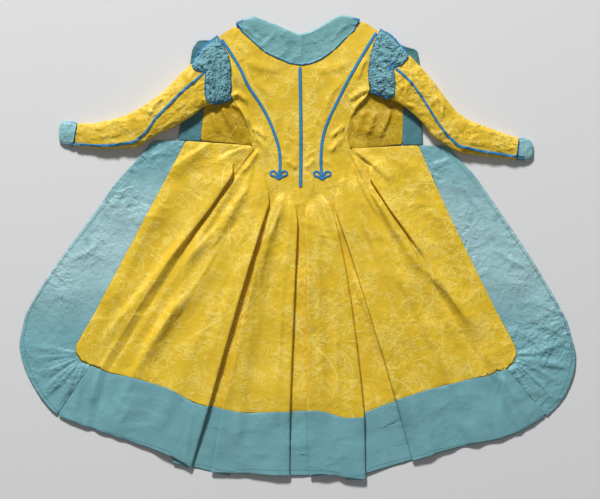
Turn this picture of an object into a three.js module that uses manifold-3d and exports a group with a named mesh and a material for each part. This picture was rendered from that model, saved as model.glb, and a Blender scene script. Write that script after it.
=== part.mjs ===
// Robe a la circassienne laid out flat, back uppermost.
// Millimetres. +X to the wearer's right as seen, +Y towards the neck, +Z up from the surface.
import * as THREE from "three";
import Module from "manifold-3d";

// ---- driving sizes -------------------------------------------------------
const SILK_WALL = 1.3;
const BRAID_WALL = 1.2;
const SEAM_GAP = 0.3;
const LAYER_STEP = 5;
const FOLD_NOSE = 3.2;
const FOLD_CLEAR = 8;
const CURVED_BRAID_WIDTH = 7;
const BACK_BRAID_WIDTH = 8;
const SLEEVE_BRAID_WIDTH = 6;
const SLEEVE_HEIGHT = 30;
const CUFF_HEIGHT = 15;
const ARMHOLE_LIFT = 13;
const HEAD_GAP = 0.9;
const EDGE_RUFFLE = 0.8;
const CORNER_GATHER = 3;

const FLOOR_Z = SILK_WALL / 2;
const ON_PANEL_Z = FLOOR_Z + SILK_WALL + SEAM_GAP;
const SKIRT_ROWS = [0, 0.05, 0.09, 0.13, 0.18, 0.25, 0.35, 0.47, 0.6, 0.74, 0.88, 1];
const HEM_ROWS = [1, 1.1, 1.2, 1.3];

// ---- cloth colours -------------------------------------------------------
const YELLOW = { color: 0xdcbe3a, roughness: 0.5, metalness: 0 };
const TEAL = { color: 0x7db3be, roughness: 0.5, metalness: 0 };
const BRAID = { color: 0x2f86bd, roughness: 0.7, metalness: 0 };

const group = new THREE.Group();
group.name = "robe_a_la_circassienne";

// ---- small helpers -------------------------------------------------------
function ease(from, to, x) {
  const t = Math.min(1, Math.max(0, (x - from) / (to - from)));
  return t * t * (3 - 2 * t);
}

function mix(a, b, t) {
  return a + (b - a) * t;
}

function vec(x, y, z = 0) {
  return new THREE.Vector3(x, y, z);
}

// A smooth line through a short table of points, read by its share of length.
function line(points) {
  const knots = points.map(([x, y, z = 0]) => vec(x, y, z));
  const spline = new THREE.CatmullRomCurve3(knots, false, "centripetal");
  return (t) => spline.getPointAt(Math.min(1, Math.max(0, t)));
}

// A value from a short table of [position, value] rows.
function graph(rows) {
  return (x) => {
    if (x <= rows[0][0]) return rows[0][1];
    for (let i = 1; i < rows.length; i += 1) {
      if (x <= rows[i][0]) {
        const share = (x - rows[i - 1][0]) / (rows[i][0] - rows[i - 1][0]);
        return mix(rows[i - 1][1], rows[i][1], share * share * (3 - 2 * share));
      }
    }
    return rows[rows.length - 1][1];
  };
}

function spread(count, from = 0, to = 1) {
  return Array.from({ length: count }, (_, i) => mix(from, to, i / (count - 1)));
}

// Pulls the edges of a grid in, so that neighbours stop a seam gap apart.
function pullIn(grid, edges) {
  const rows = grid.length;
  const cols = grid[0].length;
  const out = grid.map((row) => row.map((p) => p.clone()));
  const half = SEAM_GAP / 2;
  const pull = (i, j, i2, j2) => {
    const step = grid[i2][j2].clone().sub(grid[i][j]);
    const size = step.length();
    if (size > 1e-6) out[i][j].addScaledVector(step, Math.min(0.45, half / size));
  };
  for (let i = 0; i < rows; i += 1) {
    if (edges.includes("a")) pull(i, 0, i, 1);
    if (edges.includes("z")) pull(i, cols - 1, i, cols - 2);
  }
  for (let j = 0; j < cols; j += 1) {
    if (edges.includes("s")) pull(0, j, 1, j);
    if (edges.includes("e")) pull(rows - 1, j, rows - 2, j);
  }
  return out;
}

function normalsOf(grid) {
  const rows = grid.length;
  const cols = grid[0].length;
  return grid.map((row, i) => row.map((p, j) => {
    const sum = vec(0, 0, 0);
    for (const [di, dj] of [[1, 1], [1, -1], [-1, 1], [-1, -1]]) {
      const i2 = i + di;
      const j2 = j + dj;
      if (i2 < 0 || j2 < 0 || i2 >= rows || j2 >= cols) continue;
      const down = grid[i2][j].clone().sub(p).multiplyScalar(di);
      const across = grid[i][j2].clone().sub(p).multiplyScalar(dj);
      const n = across.cross(down);
      if (n.length() > 1e-9) sum.add(n.normalize());
    }
    return sum.normalize();
  }));
}

// The places and triangles of one closed wall round a grid of middle points.
// Rows run down the cloth and columns run to the right, so the face is up.
function wallOf(mid, wall) {
  const normals = normalsOf(mid);
  const rows = mid.length;
  const cols = mid[0].length;
  const count = rows * cols;
  const places = new Float32Array(count * 6);
  for (let i = 0; i < rows; i += 1) {
    for (let j = 0; j < cols; j += 1) {
      const n = normals[i][j];
      const face = mid[i][j].clone().addScaledVector(n, -wall / 2);
      const back = mid[i][j].clone().addScaledVector(n, wall / 2);
      face.z = Math.max(0, face.z);
      back.z = Math.max(0, back.z);
      face.toArray(places, (i * cols + j) * 3);
      back.toArray(places, (count + i * cols + j) * 3);
    }
  }
  const index = [];
  const quad = (a, b, c, d) => index.push(a, b, c, a, c, d);
  for (let i = 0; i < rows - 1; i += 1) {
    for (let j = 0; j < cols - 1; j += 1) {
      const a = i * cols + j;
      quad(a, a + cols, a + cols + 1, a + 1);
      quad(count + a, count + a + 1, count + a + cols + 1, count + a + cols);
    }
  }
  const rim = (a, b) => quad(a, b, count + b, count + a);
  for (let j = 0; j < cols - 1; j += 1) {
    rim(j, j + 1);
    rim((rows - 1) * cols + j + 1, (rows - 1) * cols + j);
  }
  for (let i = 0; i < rows - 1; i += 1) {
    rim((i + 1) * cols, i * cols);
    rim(i * cols + cols - 1, (i + 1) * cols + cols - 1);
  }
  return { places, index };
}

function cloth(name, grid, look, wall = SILK_WALL, edges = "") {
  const { places, index } = wallOf(edges ? pullIn(grid, edges) : grid, wall);
  return solid(name, places, index, look);
}

function solid(name, places, index, look) {
  const shape = new THREE.BufferGeometry();
  shape.setAttribute("position", new THREE.BufferAttribute(places, 3));
  shape.setIndex(index);
  shape.computeVertexNormals();
  const mesh = new THREE.Mesh(shape, new THREE.MeshStandardMaterial(look));
  mesh.name = name;
  group.add(mesh);
  return mesh;
}

// ---- skirt: lines that run from the waist to the hem ----------------------
// Each rib is [waist x, y, halfway x, y, border seam x, y, hem x, y].
const RIBS = {
  frontLeft: [-311, 297, -452, 30, -617, -280, -774, -290],
  cornerLeft1: [-300, 296, -440, 28, -616, -302, -765, -330],
  cornerLeft2: [-287, 295, -427, 27, -603, -321, -735, -395],
  cornerLeft3: [-269, 292, -412, 26, -578, -332, -671, -470],
  troughLeft0: [-238, 286, -370, 22, -558, -339, -622, -490],
  pleatLeft1: [-122, 283, -300, 20, -533, -347, -575, -506],
  ridgeLeft1: [-117, 275, -278, 12, -514, -352, -551, -515],
  troughLeft2: [-111, 266, -256, 3, -491, -358, -522, -524],
  ridgeLeft2: [-104, 258, -236, -3, -470, -363, -501, -531],
  troughLeft3: [-97, 249, -214, -8, -447, -368, -480, -538],
  ridgeLeft3: [-77, 221, -172, -25, -351, -398, -391, -568],
  boxLeftOuter: [-57, 179, -130, -42, -246, -445, -296, -617],
  boxLeftInner: [-50, 179, -111, -42, -210, -452, -241, -629],
  creaseLeft: [-28, 171, -72, -59, -127, -464, -136, -632],
  slitLeft: [6, 154, -7, -120, -20, -461, -21, -638],
  slitRight: [13, 154, 27, -120, 27, -458, 36, -639],
  creaseRight: [45, 166, 84, -58, 107, -470, 115, -639],
  boxRightInner: [72, 176, 136, -64, 188, -475, 191, -649],
  boxRightOuter: [80, 176, 164, -62, 275, -427, 323, -597],
  ridgeRight3: [97, 230, 200, -42, 340, -406, 392, -577],
  troughRight3: [113, 249, 234, -22, 410, -388, 470, -557],
  ridgeRight2: [124, 260, 254, -10, 445, -380, 505, -549],
  troughRight2: [134, 268, 272, 0, 480, -370, 540, -545],
  ridgeRight1: [141, 272, 292, 8, 510, -362, 572, -537],
  pleatRight1: [148, 275, 315, 15, 540, -355, 608, -524],
  troughRight0: [240, 284, 385, 22, 568, -348, 643, -507],
  cornerRight3: [297, 284, 417, 24, 588, -340, 697, -474],
  cornerRight2: [313, 284, 431, 25, 604, -326, 752, -400],
  cornerRight1: [327, 284, 443, 26, 613, -306, 768, -335],
  frontRight: [340, 284, 456, 27, 610, -282, 775, -292],
};

// Where a rib lies at share v of the way down: 1 is the border seam, 1.3 the hem.
function ribAt(name, v) {
  const [x0, y0, x1, y1, x2, y2, x3, y3] = RIBS[name];
  if (v > 1) {
    const t = (v - 1) / 0.3;
    return vec(mix(x2, x3, t), mix(y2, y3, t));
  }
  const a = 2 * (v - 0.5) * (v - 1);
  const b = -4 * v * (v - 1);
  const c = 2 * v * (v - 0.5);
  return vec(a * x0 + b * x1 + c * x2, a * y0 + b * y1 + c * y2);
}

function ribSide(name, v) {
  const step = ribAt(name, v + 0.02).sub(ribAt(name, Math.max(0, v - 0.02)));
  return vec(-step.y, step.x).normalize();
}

// One column of cloth that follows a rib at heights for the top, middle and seam.
function soft(rib, top, middle, seam) {
  const height = graph([[0.1, top], [0.5, middle], [1, seam]]);
  return { rib, offset: () => 0, height };
}

// Seven columns for a folded edge. The top layer lies to the left of an edge
// that faces right, and to the right of an edge that faces left.
function fold(rib, faces, depth, grip = () => 1, high = () => FLOOR_Z + 2 * LAYER_STEP) {
  const nose = FOLD_NOSE;
  const sign = faces === "right" ? 1 : -1;
  const columns = [0, 1, 2, 3, 4, 5, 6].map((k) => ({
    rib,
    offset: (v) => {
      const d = depth(v);
      const folded = [-nose, 0, -nose, nose - d, -d, nose - d, nose + 5 - d][k];
      const flat = (k - 4.5) * 4;
      return sign * mix(flat, folded, grip(v));
    },
    height: (v) => {
      const share = [1, 0.75, 0.5, 0.5, 0.25, 0, 0][k];
      const even = Math.max(0, 1 - k / 5);
      return mix(FLOOR_Z, high(v), mix(even, share, grip(v)));
    },
  }));
  return faces === "right" ? columns : columns.reverse();
}

// A column on the top layer, just clear of the layers folded under it. Its hem
// may be hitched up by a few millimetres, where the fold swings outwards.
function clearOf(rib, faces, depth, hitch = 0) {
  const sign = faces === "right" ? -1 : 1;
  return {
    rib,
    offset: (v) => sign * (depth(v) + FOLD_CLEAR),
    height: () => FLOOR_Z + 2 * LAYER_STEP,
    hitch: (v) => hitch * ease(1, 1.3, v),
  };
}

const boxDepth = (v) => 5 + 38 * v;
const slitDepth = (v) => 5 + 26 * v;
const sideDepth = (v) => 8 + 26 * v;
const sideGrip = (v) => 1 - ease(0.34, 0.6, v);
const sideHigh = graph([[0, 10.6], [0.45, 10], [1, 5]]);

const PLEAT_LEFT = fold("pleatLeft1", "right", sideDepth, sideGrip, sideHigh);
const BOX_LEFT_OUTER = fold("boxLeftOuter", "right", boxDepth);
const BOX_LEFT_INNER = fold("boxLeftInner", "left", boxDepth);
const SLIT_LEFT = fold("slitLeft", "right", slitDepth);
const SLIT_RIGHT = fold("slitRight", "left", slitDepth);
const BOX_RIGHT_INNER = fold("boxRightInner", "right", boxDepth);
const BOX_RIGHT_OUTER = fold("boxRightOuter", "left", boxDepth);
const PLEAT_RIGHT = fold("pleatRight1", "left", sideDepth, sideGrip, sideHigh);

// Panels from left to right; each starts on the last column of the one before.
const PANELS = {
  skirt_left: {
    from: "frontLeft",
    to: "pleatLeft1",
    columns: [
      soft("frontLeft", FLOOR_Z, FLOOR_Z, FLOOR_Z),
      soft("cornerLeft1", 1.5, 3, 1),
      soft("cornerLeft2", 3, 5, 2),
      soft("cornerLeft3", 6, 3, 1),
      soft("troughLeft0", 0.7, 2, 1.5),
      ...PLEAT_LEFT,
    ],
  },
  side_back_left: {
    from: "pleatLeft1",
    to: "boxLeftOuter",
    columns: [
      PLEAT_LEFT[6],
      soft("ridgeLeft1", 4, 7, 3),
      soft("troughLeft2", 1, 1, 1),
      soft("ridgeLeft2", 5, 8, 5),
      soft("troughLeft3", 1, 1, 1),
      soft("ridgeLeft3", 9, 11, 9),
      clearOf("boxLeftOuter", "right", boxDepth, 16),
      ...BOX_LEFT_OUTER,
    ],
  },
  back_left: {
    from: "boxLeftOuter",
    to: "slitRight",
    columns: [
      BOX_LEFT_OUTER[6],
      ...BOX_LEFT_INNER,
      clearOf("boxLeftInner", "left", boxDepth, 9),
      soft("creaseLeft", 8, 7, 6),
      clearOf("slitLeft", "right", slitDepth),
      ...SLIT_LEFT,
      SLIT_RIGHT[0],
    ],
  },
  back_right: {
    from: "slitRight",
    to: "boxRightOuter",
    columns: [
      ...SLIT_RIGHT,
      clearOf("slitRight", "left", slitDepth),
      soft("creaseRight", 8, 7, 6),
      clearOf("boxRightInner", "right", boxDepth, 8),
      ...BOX_RIGHT_INNER,
      BOX_RIGHT_OUTER[0],
    ],
  },
  side_back_right: {
    from: "boxRightOuter",
    to: "pleatRight1",
    columns: [
      ...BOX_RIGHT_OUTER,
      clearOf("boxRightOuter", "left", boxDepth),
      soft("ridgeRight3", 9, 11, 9),
      soft("troughRight3", 1, 1, 1),
      soft("ridgeRight2", 5, 8, 5),
      soft("troughRight2", 1, 1, 1),
      soft("ridgeRight1", 4, 7, 3),
      PLEAT_RIGHT[0],
    ],
  },
  skirt_right: {
    from: "pleatRight1",
    to: "frontRight",
    columns: [
      ...PLEAT_RIGHT,
      soft("troughRight0", 0.7, 2, 1.5),
      soft("cornerRight3", 6, 3, 1),
      soft("cornerRight2", 3, 5, 2),
      soft("cornerRight1", 1.5, 3, 1),
      soft("frontRight", FLOOR_Z, FLOOR_Z, FLOOR_Z),
    ],
  },
};

// The point of a panel's column at share v: evenly spread at the waist, then pleated.
function skirtPoint(panel, j, v) {
  const column = panel.columns[j];
  const settled = ease(0.03, 0.17, v);
  const start = ribAt(panel.from, v);
  const end = ribAt(panel.to, v);
  const even = start.clone().lerp(end, j / (panel.columns.length - 1));
  const place = ribAt(column.rib, v);
  place.addScaledVector(ribSide(column.rib, v), column.offset(v));
  if (column.hitch) place.y += column.hitch(v);
  even.lerp(place, settled);
  even.z = mix(FLOOR_Z, Math.max(FLOOR_Z, column.height(v)), settled);
  return even;
}

function skirtGrid(name, rows) {
  const panel = PANELS[name];
  return rows.map((v) => panel.columns.map((column, j) => skirtPoint(panel, j, v)));
}

// ---- bodice --------------------------------------------------------------
const BODICE_ROWS = [0, 0.09, 0.18, 0.27, 0.36, 0.45, 0.55, 0.66, 0.77, 0.88, 1];
const SIDE_SEAM_START = 0.55;

const CENTRE_SEAM = line([[8, 584], [8.4, 506], [11, 400], [11, 270], [13, 154]]);
const CURVED_SEAM = {
  left: line([
    [-213, 584], [-192, 552], [-161, 503], [-144, 462], [-116, 420],
    [-83, 365], [-60, 308], [-48, 262], [-47, 225], [-57, 179],
  ]),
  right: line([
    [224, 603], [206, 574], [176, 524], [144, 468], [111, 402],
    [85, 348], [71, 300], [67, 250], [69, 212], [80, 176],
  ]),
};
const ARMHOLE = {
  left: line([[-221, 589], [-198, 553], [-186, 524], [-181, 494], [-183, 460], [-187, 434], [-181, 414]]),
  right: line([[232, 607], [215, 573], [204, 529], [198, 486], [200, 460], [207, 444], [203, 434]]),
};
const SIDE_SEAM = {
  left: line([[-181, 414], [-153, 378], [-136, 333], [-127, 303], [-122, 283]]),
  right: line([[203, 434], [175, 398], [146, 350], [139, 310], [148, 275]]),
};
const NECK = {
  left: line([[-213, 584], [-176, 615], [-150, 611], [-120, 606], [-60, 592], [8, 584]]),
  right: line([[8, 584], [60, 594], [120, 612], [150, 619], [183, 629], [224, 603]]),
};

// Height of the back bodice: flat at the waist, lifted by the sleeve heads.
function bodiceZ(x, y) {
  const up = ease(350, 480, y);
  const out = ease(55, 170, Math.abs(x - 6));
  const shoulder = 1 - 0.45 * ease(530, 630, y);
  return FLOOR_Z + ARMHOLE_LIFT * up * out * shoulder;
}

function onBody(point, lift = 0) {
  const { x, y } = point;
  const slopeX = (bodiceZ(x + 1, y) - bodiceZ(x - 1, y)) / 2;
  const slopeY = (bodiceZ(x, y + 1) - bodiceZ(x, y - 1)) / 2;
  const up = vec(-slopeX, -slopeY, 1).normalize();
  return vec(x, y, bodiceZ(x, y)).addScaledVector(up, lift);
}

function outerEdge(side) {
  return (w) => {
    if (w <= SIDE_SEAM_START) return ARMHOLE[side](w / SIDE_SEAM_START);
    return SIDE_SEAM[side]((w - SIDE_SEAM_START) / (1 - SIDE_SEAM_START));
  };
}

// Fills the cloth between four edge lines.
function fill(rows, cols, left, right, top, bottom) {
  const c00 = top(0);
  const c01 = top(1);
  const c10 = bottom(0);
  const c11 = bottom(1);
  return rows.map((w) => spread(cols).map((u) => {
    const p = top(u).multiplyScalar(1 - w).addScaledVector(bottom(u), w);
    p.addScaledVector(left(w), 1 - u).addScaledVector(right(w), u);
    p.addScaledVector(c00, -(1 - u) * (1 - w)).addScaledVector(c01, -u * (1 - w));
    p.addScaledVector(c10, -(1 - u) * w).addScaledVector(c11, -u * w);
    return p;
  }));
}

function straight(from, to) {
  return (t) => from.clone().lerp(to, t);
}

function bodiceGrid(panelName, left, right, top) {
  const panel = PANELS[panelName];
  const cols = panel.columns.length;
  const bottom = straight(ribAt(panel.from, 0), ribAt(panel.to, 0));
  const flat = fill(BODICE_ROWS, cols, left, right, top, bottom);
  return flat.slice(0, -1).map((row) => row.map((p) => onBody(p)));
}

function gore(name, left, right, top) {
  const grid = [...bodiceGrid(name, left, right, top), ...skirtGrid(name, SKIRT_ROWS)];
  cloth(name, grid, YELLOW, SILK_WALL, "azse");
}

gore("back_left", CURVED_SEAM.left, CENTRE_SEAM, NECK.left);
gore("back_right", CENTRE_SEAM, CURVED_SEAM.right, NECK.right);
gore(
  "side_back_left",
  outerEdge("left"),
  CURVED_SEAM.left,
  straight(ARMHOLE.left(0), CURVED_SEAM.left(0)),
);
gore(
  "side_back_right",
  CURVED_SEAM.right,
  outerEdge("right"),
  straight(CURVED_SEAM.right(0), ARMHOLE.right(0)),
);
cloth("skirt_left", skirtGrid("skirt_left", SKIRT_ROWS), YELLOW, SILK_WALL, "azse");
cloth("skirt_right", skirtGrid("skirt_right", SKIRT_ROWS), YELLOW, SILK_WALL, "azse");

// ---- blue border of the skirt ---------------------------------------------
const CORNER_STEPS = 3;

function hemBand(name, panels, firstColumn, lastColumn) {
  const grid = HEM_ROWS.map((v) => {
    const row = [];
    panels.forEach((panelName, k) => {
      const points = skirtGrid(panelName, [v])[0];
      row.push(...(k === 0 ? points : points.slice(1)));
    });
    return row.slice(firstColumn, lastColumn);
  });
  cloth(name, grid, TEAL, SILK_WALL, "azs");
}

hemBand("hem_band_left", ["skirt_left", "side_back_left", "back_left"], 3, undefined);
hemBand("hem_band_right", ["back_right", "side_back_right", "skirt_right"], 0, -3);

// The front border runs down the opening and turns the rounded corner, where it
// is gathered. Corner columns are the panel's columns that the turn passes.
function skirtBand(name, { panel, column, cornerColumns, opening, corner, right }) {
  const rows = SKIRT_ROWS.map((v) => [skirtPoint(panel, column, v), opening(v)]);
  cornerColumns.forEach((next, k) => {
    const innerFrom = rows[rows.length - 1][0];
    const innerTo = skirtPoint(panel, next, 1);
    for (let step = 1; step <= CORNER_STEPS; step += 1) {
      const t = step / CORNER_STEPS;
      const outer = corner((k + t) / cornerColumns.length);
      rows.push([innerFrom.clone().lerp(innerTo, t), outer]);
    }
  });
  const grid = rows.map(([inner, outer], i) => spread(6).map((u) => {
    const p = inner.clone().lerp(outer.setZ(FLOOR_Z), u);
    const ruffle = i < SKIRT_ROWS.length - 1 ? EDGE_RUFFLE : CORNER_GATHER;
    const wave = i % 2 === 0 ? 0 : ruffle;
    p.z += wave * Math.sin(Math.PI * Math.min(1, u * 1.15));
    return p;
  }));
  const ordered = right ? grid : grid.map((row) => row.reverse());
  cloth(name, ordered, TEAL, SILK_WALL, right ? "ae" : "ze");
}

const OPENING_LEFT = line([
  [-403, 297], [-442, 249], [-504, 182], [-568, 92], [-636, 3],
  [-699, -87], [-746, -160], [-768, -215], [-777, -272],
]);
const OPENING_RIGHT = line([
  [423, 283], [448, 249], [493, 204], [541, 137], [587, 70], [632, 3],
  [675, -64], [715, -132], [751, -199], [770, -245], [779, -290],
]);
const CORNER_LEFT = line([
  [-777, -272], [-769, -318], [-753, -360], [-730, -400], [-703, -438], [-671, -470],
]);
const CORNER_RIGHT = line([
  [779, -290], [779, -325], [771, -362], [756, -402], [731, -442], [697, -474],
]);
const lastRight = PANELS.skirt_right.columns.length - 1;

skirtBand("skirt_band_left", {
  panel: PANELS.skirt_left,
  column: 0,
  cornerColumns: [1, 2, 3],
  opening: OPENING_LEFT,
  corner: CORNER_LEFT,
  right: false,
});
skirtBand("skirt_band_right", {
  panel: PANELS.skirt_right,
  column: lastRight,
  cornerColumns: [lastRight - 1, lastRight - 2, lastRight - 3],
  opening: OPENING_RIGHT,
  corner: CORNER_RIGHT,
  right: true,
});

// ---- fronts, turned out beyond the side seams ------------------------------
const SEAM_SHARES = BODICE_ROWS.filter((w) => w >= SIDE_SEAM_START)
  .map((w) => (w - SIDE_SEAM_START) / (1 - SIDE_SEAM_START));

// Rows are [outer x, outer y, inner x, inner y] from the shoulder to the underarm.
const FRONT_TOPS = {
  left: [
    [-222, 583, -192, 606],
    [-238, 562, -200, 572],
    [-250, 530, -200, 532],
    [-256, 490, -196, 486],
    [-259, 455, -192, 445],
  ],
  right: [
    [236, 595, 204, 617],
    [250, 572, 216, 588],
    [276, 545, 218, 548],
    [292, 500, 212, 500],
    [295, 460, 212, 465],
  ],
};
const FRONT_EDGE = {
  left: line([[-259.5, 425], [-262, 384], [-266, 340], [-269, 297]]),
  right: line([[296, 430], [297, 392], [296, 340], [294, 286]]),
};

function frontGrid(side) {
  const tops = FRONT_TOPS[side].map(([ox, oy, ix, iy], i) => {
    const outer = vec(ox, oy);
    const inner = vec(ix, iy);
    const rise = [1, 0.3, 0, 0, 0][i];
    return spread(5).map((u) => {
      const p = outer.clone().lerp(inner, u);
      const under = bodiceZ(p.x, p.y) - SILK_WALL - SEAM_GAP - 0.35;
      p.z = mix(FLOOR_Z, Math.max(FLOOR_Z, under), rise * ease(0.2, 1, u));
      return p;
    });
  });
  const sides = SEAM_SHARES.map((t) => {
    const outer = FRONT_EDGE[side](t);
    const inner = SIDE_SEAM[side](t);
    return spread(5).map((u, j) => {
      const p = outer.clone().lerp(inner, u);
      const puff = t > 0.3 && t < 0.9 ? [0, 2.5, 5.5, 2, 0][j] : 0;
      const seam = Math.min(2.2, bodiceZ(p.x, p.y) - FLOOR_Z);
      p.z = FLOOR_Z + (j === 4 ? seam : puff);
      return p;
    });
  });
  return [...tops, ...sides];
}

const FRONT_GRIDS = { left: frontGrid("left"), right: frontGrid("right") };
cloth("front_left", FRONT_GRIDS.left, YELLOW, SILK_WALL, "aze");
cloth("front_right", FRONT_GRIDS.right.map((row) => [...row].reverse()), YELLOW, SILK_WALL, "aze");

// The blue band down each front edge, curling at its top corner.
const FRONT_BAND_EDGE = {
  left: [
    [-239, 576], [-275, 579], [-292, 553], [-298, 514], [-305, 470],
    [-309, 430], [-315, 392], [-321, 360], [-328, 322], [-333, 298],
  ],
  right: [
    [249, 586], [286, 560], [336, 552], [343, 512], [344, 470],
    [345, 430], [346, 392], [348, 360], [350, 322], [351, 286],
  ],
};

function frontBand(side) {
  const inner = FRONT_GRIDS[side].map((row) => row[0]);
  const grid = inner.map((p, i) => {
    const [x, y] = FRONT_BAND_EDGE[side][i];
    const outer = vec(x, y, FLOOR_Z);
    return spread(5).map((u, j) => {
      const q = p.clone().lerp(outer, u);
      if (i > 0 && i < 3) q.z += [0, 0, 1, 2.8, 6][j] * (i === 1 ? 0.4 : 1);
      return q;
    });
  });
  const ordered = side === "left" ? grid.map((row) => row.reverse()) : grid;
  cloth(`front_band_${side}`, ordered, TEAL, SILK_WALL, side === "left" ? "ze" : "ae");
}

frontBand("left");
frontBand("right");

// ---- sleeves ---------------------------------------------------------------
// Stations from the armhole to the wrist: [upper x, y, lower x, y, braid x, y, height].
const SLEEVE_STATIONS = {
  left: [
    [-223, 589, -184, 411, -204, 500, 11],
    [-247, 568, -212, 401, -236, 492, 20],
    [-272, 542, -236, 397, -256, 487, 25],
    [-293, 513, -262, 389, -271, 467, 28],
    [-318, 490, -288, 366, -295, 446, SLEEVE_HEIGHT],
    [-345, 460, -316, 349, -326, 420, SLEEVE_HEIGHT],
    [-375, 431, -345, 332, -356, 391, 29],
    [-408, 407, -385, 316, -388, 358, 27],
    [-445, 384, -412, 300, -415, 322, 25],
    [-480, 368, -446, 277, -449, 294, 23],
    [-525, 355, -509, 275, -510, 284, 20],
    [-569, 345, -560, 274, -561, 283, 17],
    [-613, 347, -624, 283, -623, 288, CUFF_HEIGHT],
  ],
  right: [
    [235, 606, 206, 430, 222, 515, 11],
    [256, 592, 234, 423, 248, 508, 20],
    [284, 566, 253, 413, 268, 501, 25],
    [309, 540, 281, 401, 291, 480, 28],
    [332, 517, 306, 385, 313, 457, SLEEVE_HEIGHT],
    [357, 490, 331, 364, 336, 425, SLEEVE_HEIGHT],
    [383, 460, 355, 341, 360, 389, 29],
    [411, 422, 381, 305, 387, 348, 27],
    [442, 382, 412, 287, 416, 311, 25],
    [476, 357, 446, 265, 448, 283, 23],
    [525, 338, 506, 256, 508, 269, 20],
    [573, 320, 560, 250, 562, 260, 17],
    [621, 304, 614, 245, 614, 253, CUFF_HEIGHT],
  ],
};
SLEEVE_STATIONS.left.head = "left";
SLEEVE_STATIONS.right.head = "right";
const HEAD_RISE = 1.6;
const CUFF_STATIONS = {
  left: [
    [-613, 347, -624, 283, -623, 288, CUFF_HEIGHT],
    [-634, 352, -640, 285, -639, 290, 14],
    [-655, 354, -656, 288, -655, 292, 12],
    [-664, 340, -665, 296, -665, 300, 10],
  ],
  right: [
    [621, 304, 614, 245, 614, 253, CUFF_HEIGHT],
    [636, 305, 630, 242, 630, 251, 14],
    [650, 302, 647, 243, 647, 250, 12],
    [659, 291, 658, 251, 658, 256, 10],
  ],
};
const UNDER_ANGLES = [-90, -50, -18];
const TOP_SHARES = [0.12, 0.3, 0.5, 0.75, 1];
const FAR_SHARES = [0, 0.3, 0.6, 0.85];
const FAR_UNDER = [198, 230, 270];
const SEAM_COLUMN = UNDER_ANGLES.length + TOP_SHARES.length - 1;

function sleeveLift(x) {
  return mix(ON_PANEL_Z + 0.1, FLOOR_Z, ease(425, 500, Math.abs(x)));
}

function stationAt(table, s) {
  const i = Math.min(table.length - 2, Math.floor(s));
  const t = s - i;
  const [ux, uy, lx, ly, bx, by, height] = table[i].map((a, k) => mix(a, table[i + 1][k], t));
  return { upper: vec(ux, uy), lower: vec(lx, ly), braid: vec(bx, by), height };
}

function braidAngle(station) {
  const across = station.lower.clone().sub(station.upper);
  const share = station.braid.clone().sub(station.upper).dot(across) / across.lengthSq();
  return THREE.MathUtils.radToDeg(Math.acos(1 - 2 * share));
}

// How far the sleeve's head bows out from its straight first station to the armhole.
function headBow(side, share) {
  const first = stationAt(SLEEVE_STATIONS[side], 0);
  const bow = ARMHOLE[side](share).sub(first.upper.lerp(first.lower, share));
  bow.x += side === "left" ? -HEAD_GAP : HEAD_GAP;
  return bow;
}

// Angle round the sleeve: 0 at the upper fold, 180 at the lower fold, 90 on top.
function sleevePoint(table, s, angle) {
  const station = stationAt(table, s);
  const turn = THREE.MathUtils.degToRad(angle);
  const share = (1 - Math.cos(turn)) / 2;
  const p = station.upper.clone().lerp(station.lower, share);
  const head = table.head ? Math.max(0, 1 - s) : 0;
  if (head > 0) p.addScaledVector(headBow(table.head, share), head);
  const low = sleeveLift(p.x) + HEAD_RISE * head * head * (3 - 2 * head);
  const middle = low + 0.38 * station.height;
  const rise = Math.sin(turn);
  const round = Math.abs(rise) ** 0.7;
  p.z = rise >= 0 ? middle + (station.height * 0.62) * round : middle - (middle - low) * round;
  return p;
}

function sleeveAngles(table, s) {
  const seam = braidAngle(stationAt(table, s));
  return {
    top: [...UNDER_ANGLES, ...TOP_SHARES.map((t) => seam * t)],
    far: [...FAR_SHARES.map((t) => mix(seam, 180, t)), ...FAR_UNDER],
  };
}

function sleeveGrid(table, part) {
  return table.map((row, s) => sleeveAngles(table, s)[part]
    .map((angle) => sleevePoint(table, s, angle)));
}

// The left sleeve runs the other way, so its rows are turned over to keep the face out.
function sleeve(side) {
  const table = SLEEVE_STATIONS[side];
  const facing = (grid) => (side === "left" ? grid : grid.map((row) => [...row].reverse()));
  cloth(`sleeve_top_${side}`, facing(sleeveGrid(table, "top")), YELLOW, SILK_WALL, "azse");
  cloth(`sleeve_under_${side}`, facing(sleeveGrid(table, "far")), YELLOW, SILK_WALL, "azse");
  const cuff = CUFF_STATIONS[side];
  const cuffGrid = cuff.map((row, s) => {
    const { top, far } = sleeveAngles(cuff, s);
    const start = top.slice(3);
    const under = top.slice(1, 3).map((angle) => angle + 360);
    return [...far, ...under, ...start.map((angle) => angle + 360)]
      .map((angle) => sleevePoint(cuff, s, angle));
  });
  cloth(`cuff_${side}`, facing(cuffGrid), TEAL, SILK_WALL, "azse");
}

sleeve("left");
sleeve("right");

// ---- crinkled caps over the sleeve heads -----------------------------------
const CAP_LAY = 1.2;
const CAP_START = 0.03;
// How far each cap reaches down the sleeve, in stations, column by column.
const CAP_REACH = {
  left: [1.9, 2.5, 2.95, 3.0, 2.75, 1.9, 2.35, 2.5, 2.0, 1.2],
  right: [2.1, 2.8, 3.05, 3.0, 2.75, 1.9, 2.4, 2.55, 2.15, 1.3],
};

function aroundSleeve(table, s) {
  const { top, far } = sleeveAngles(table, s);
  return [...top, ...far.slice(1)].map((angle) => sleevePoint(table, s, angle));
}

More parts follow.
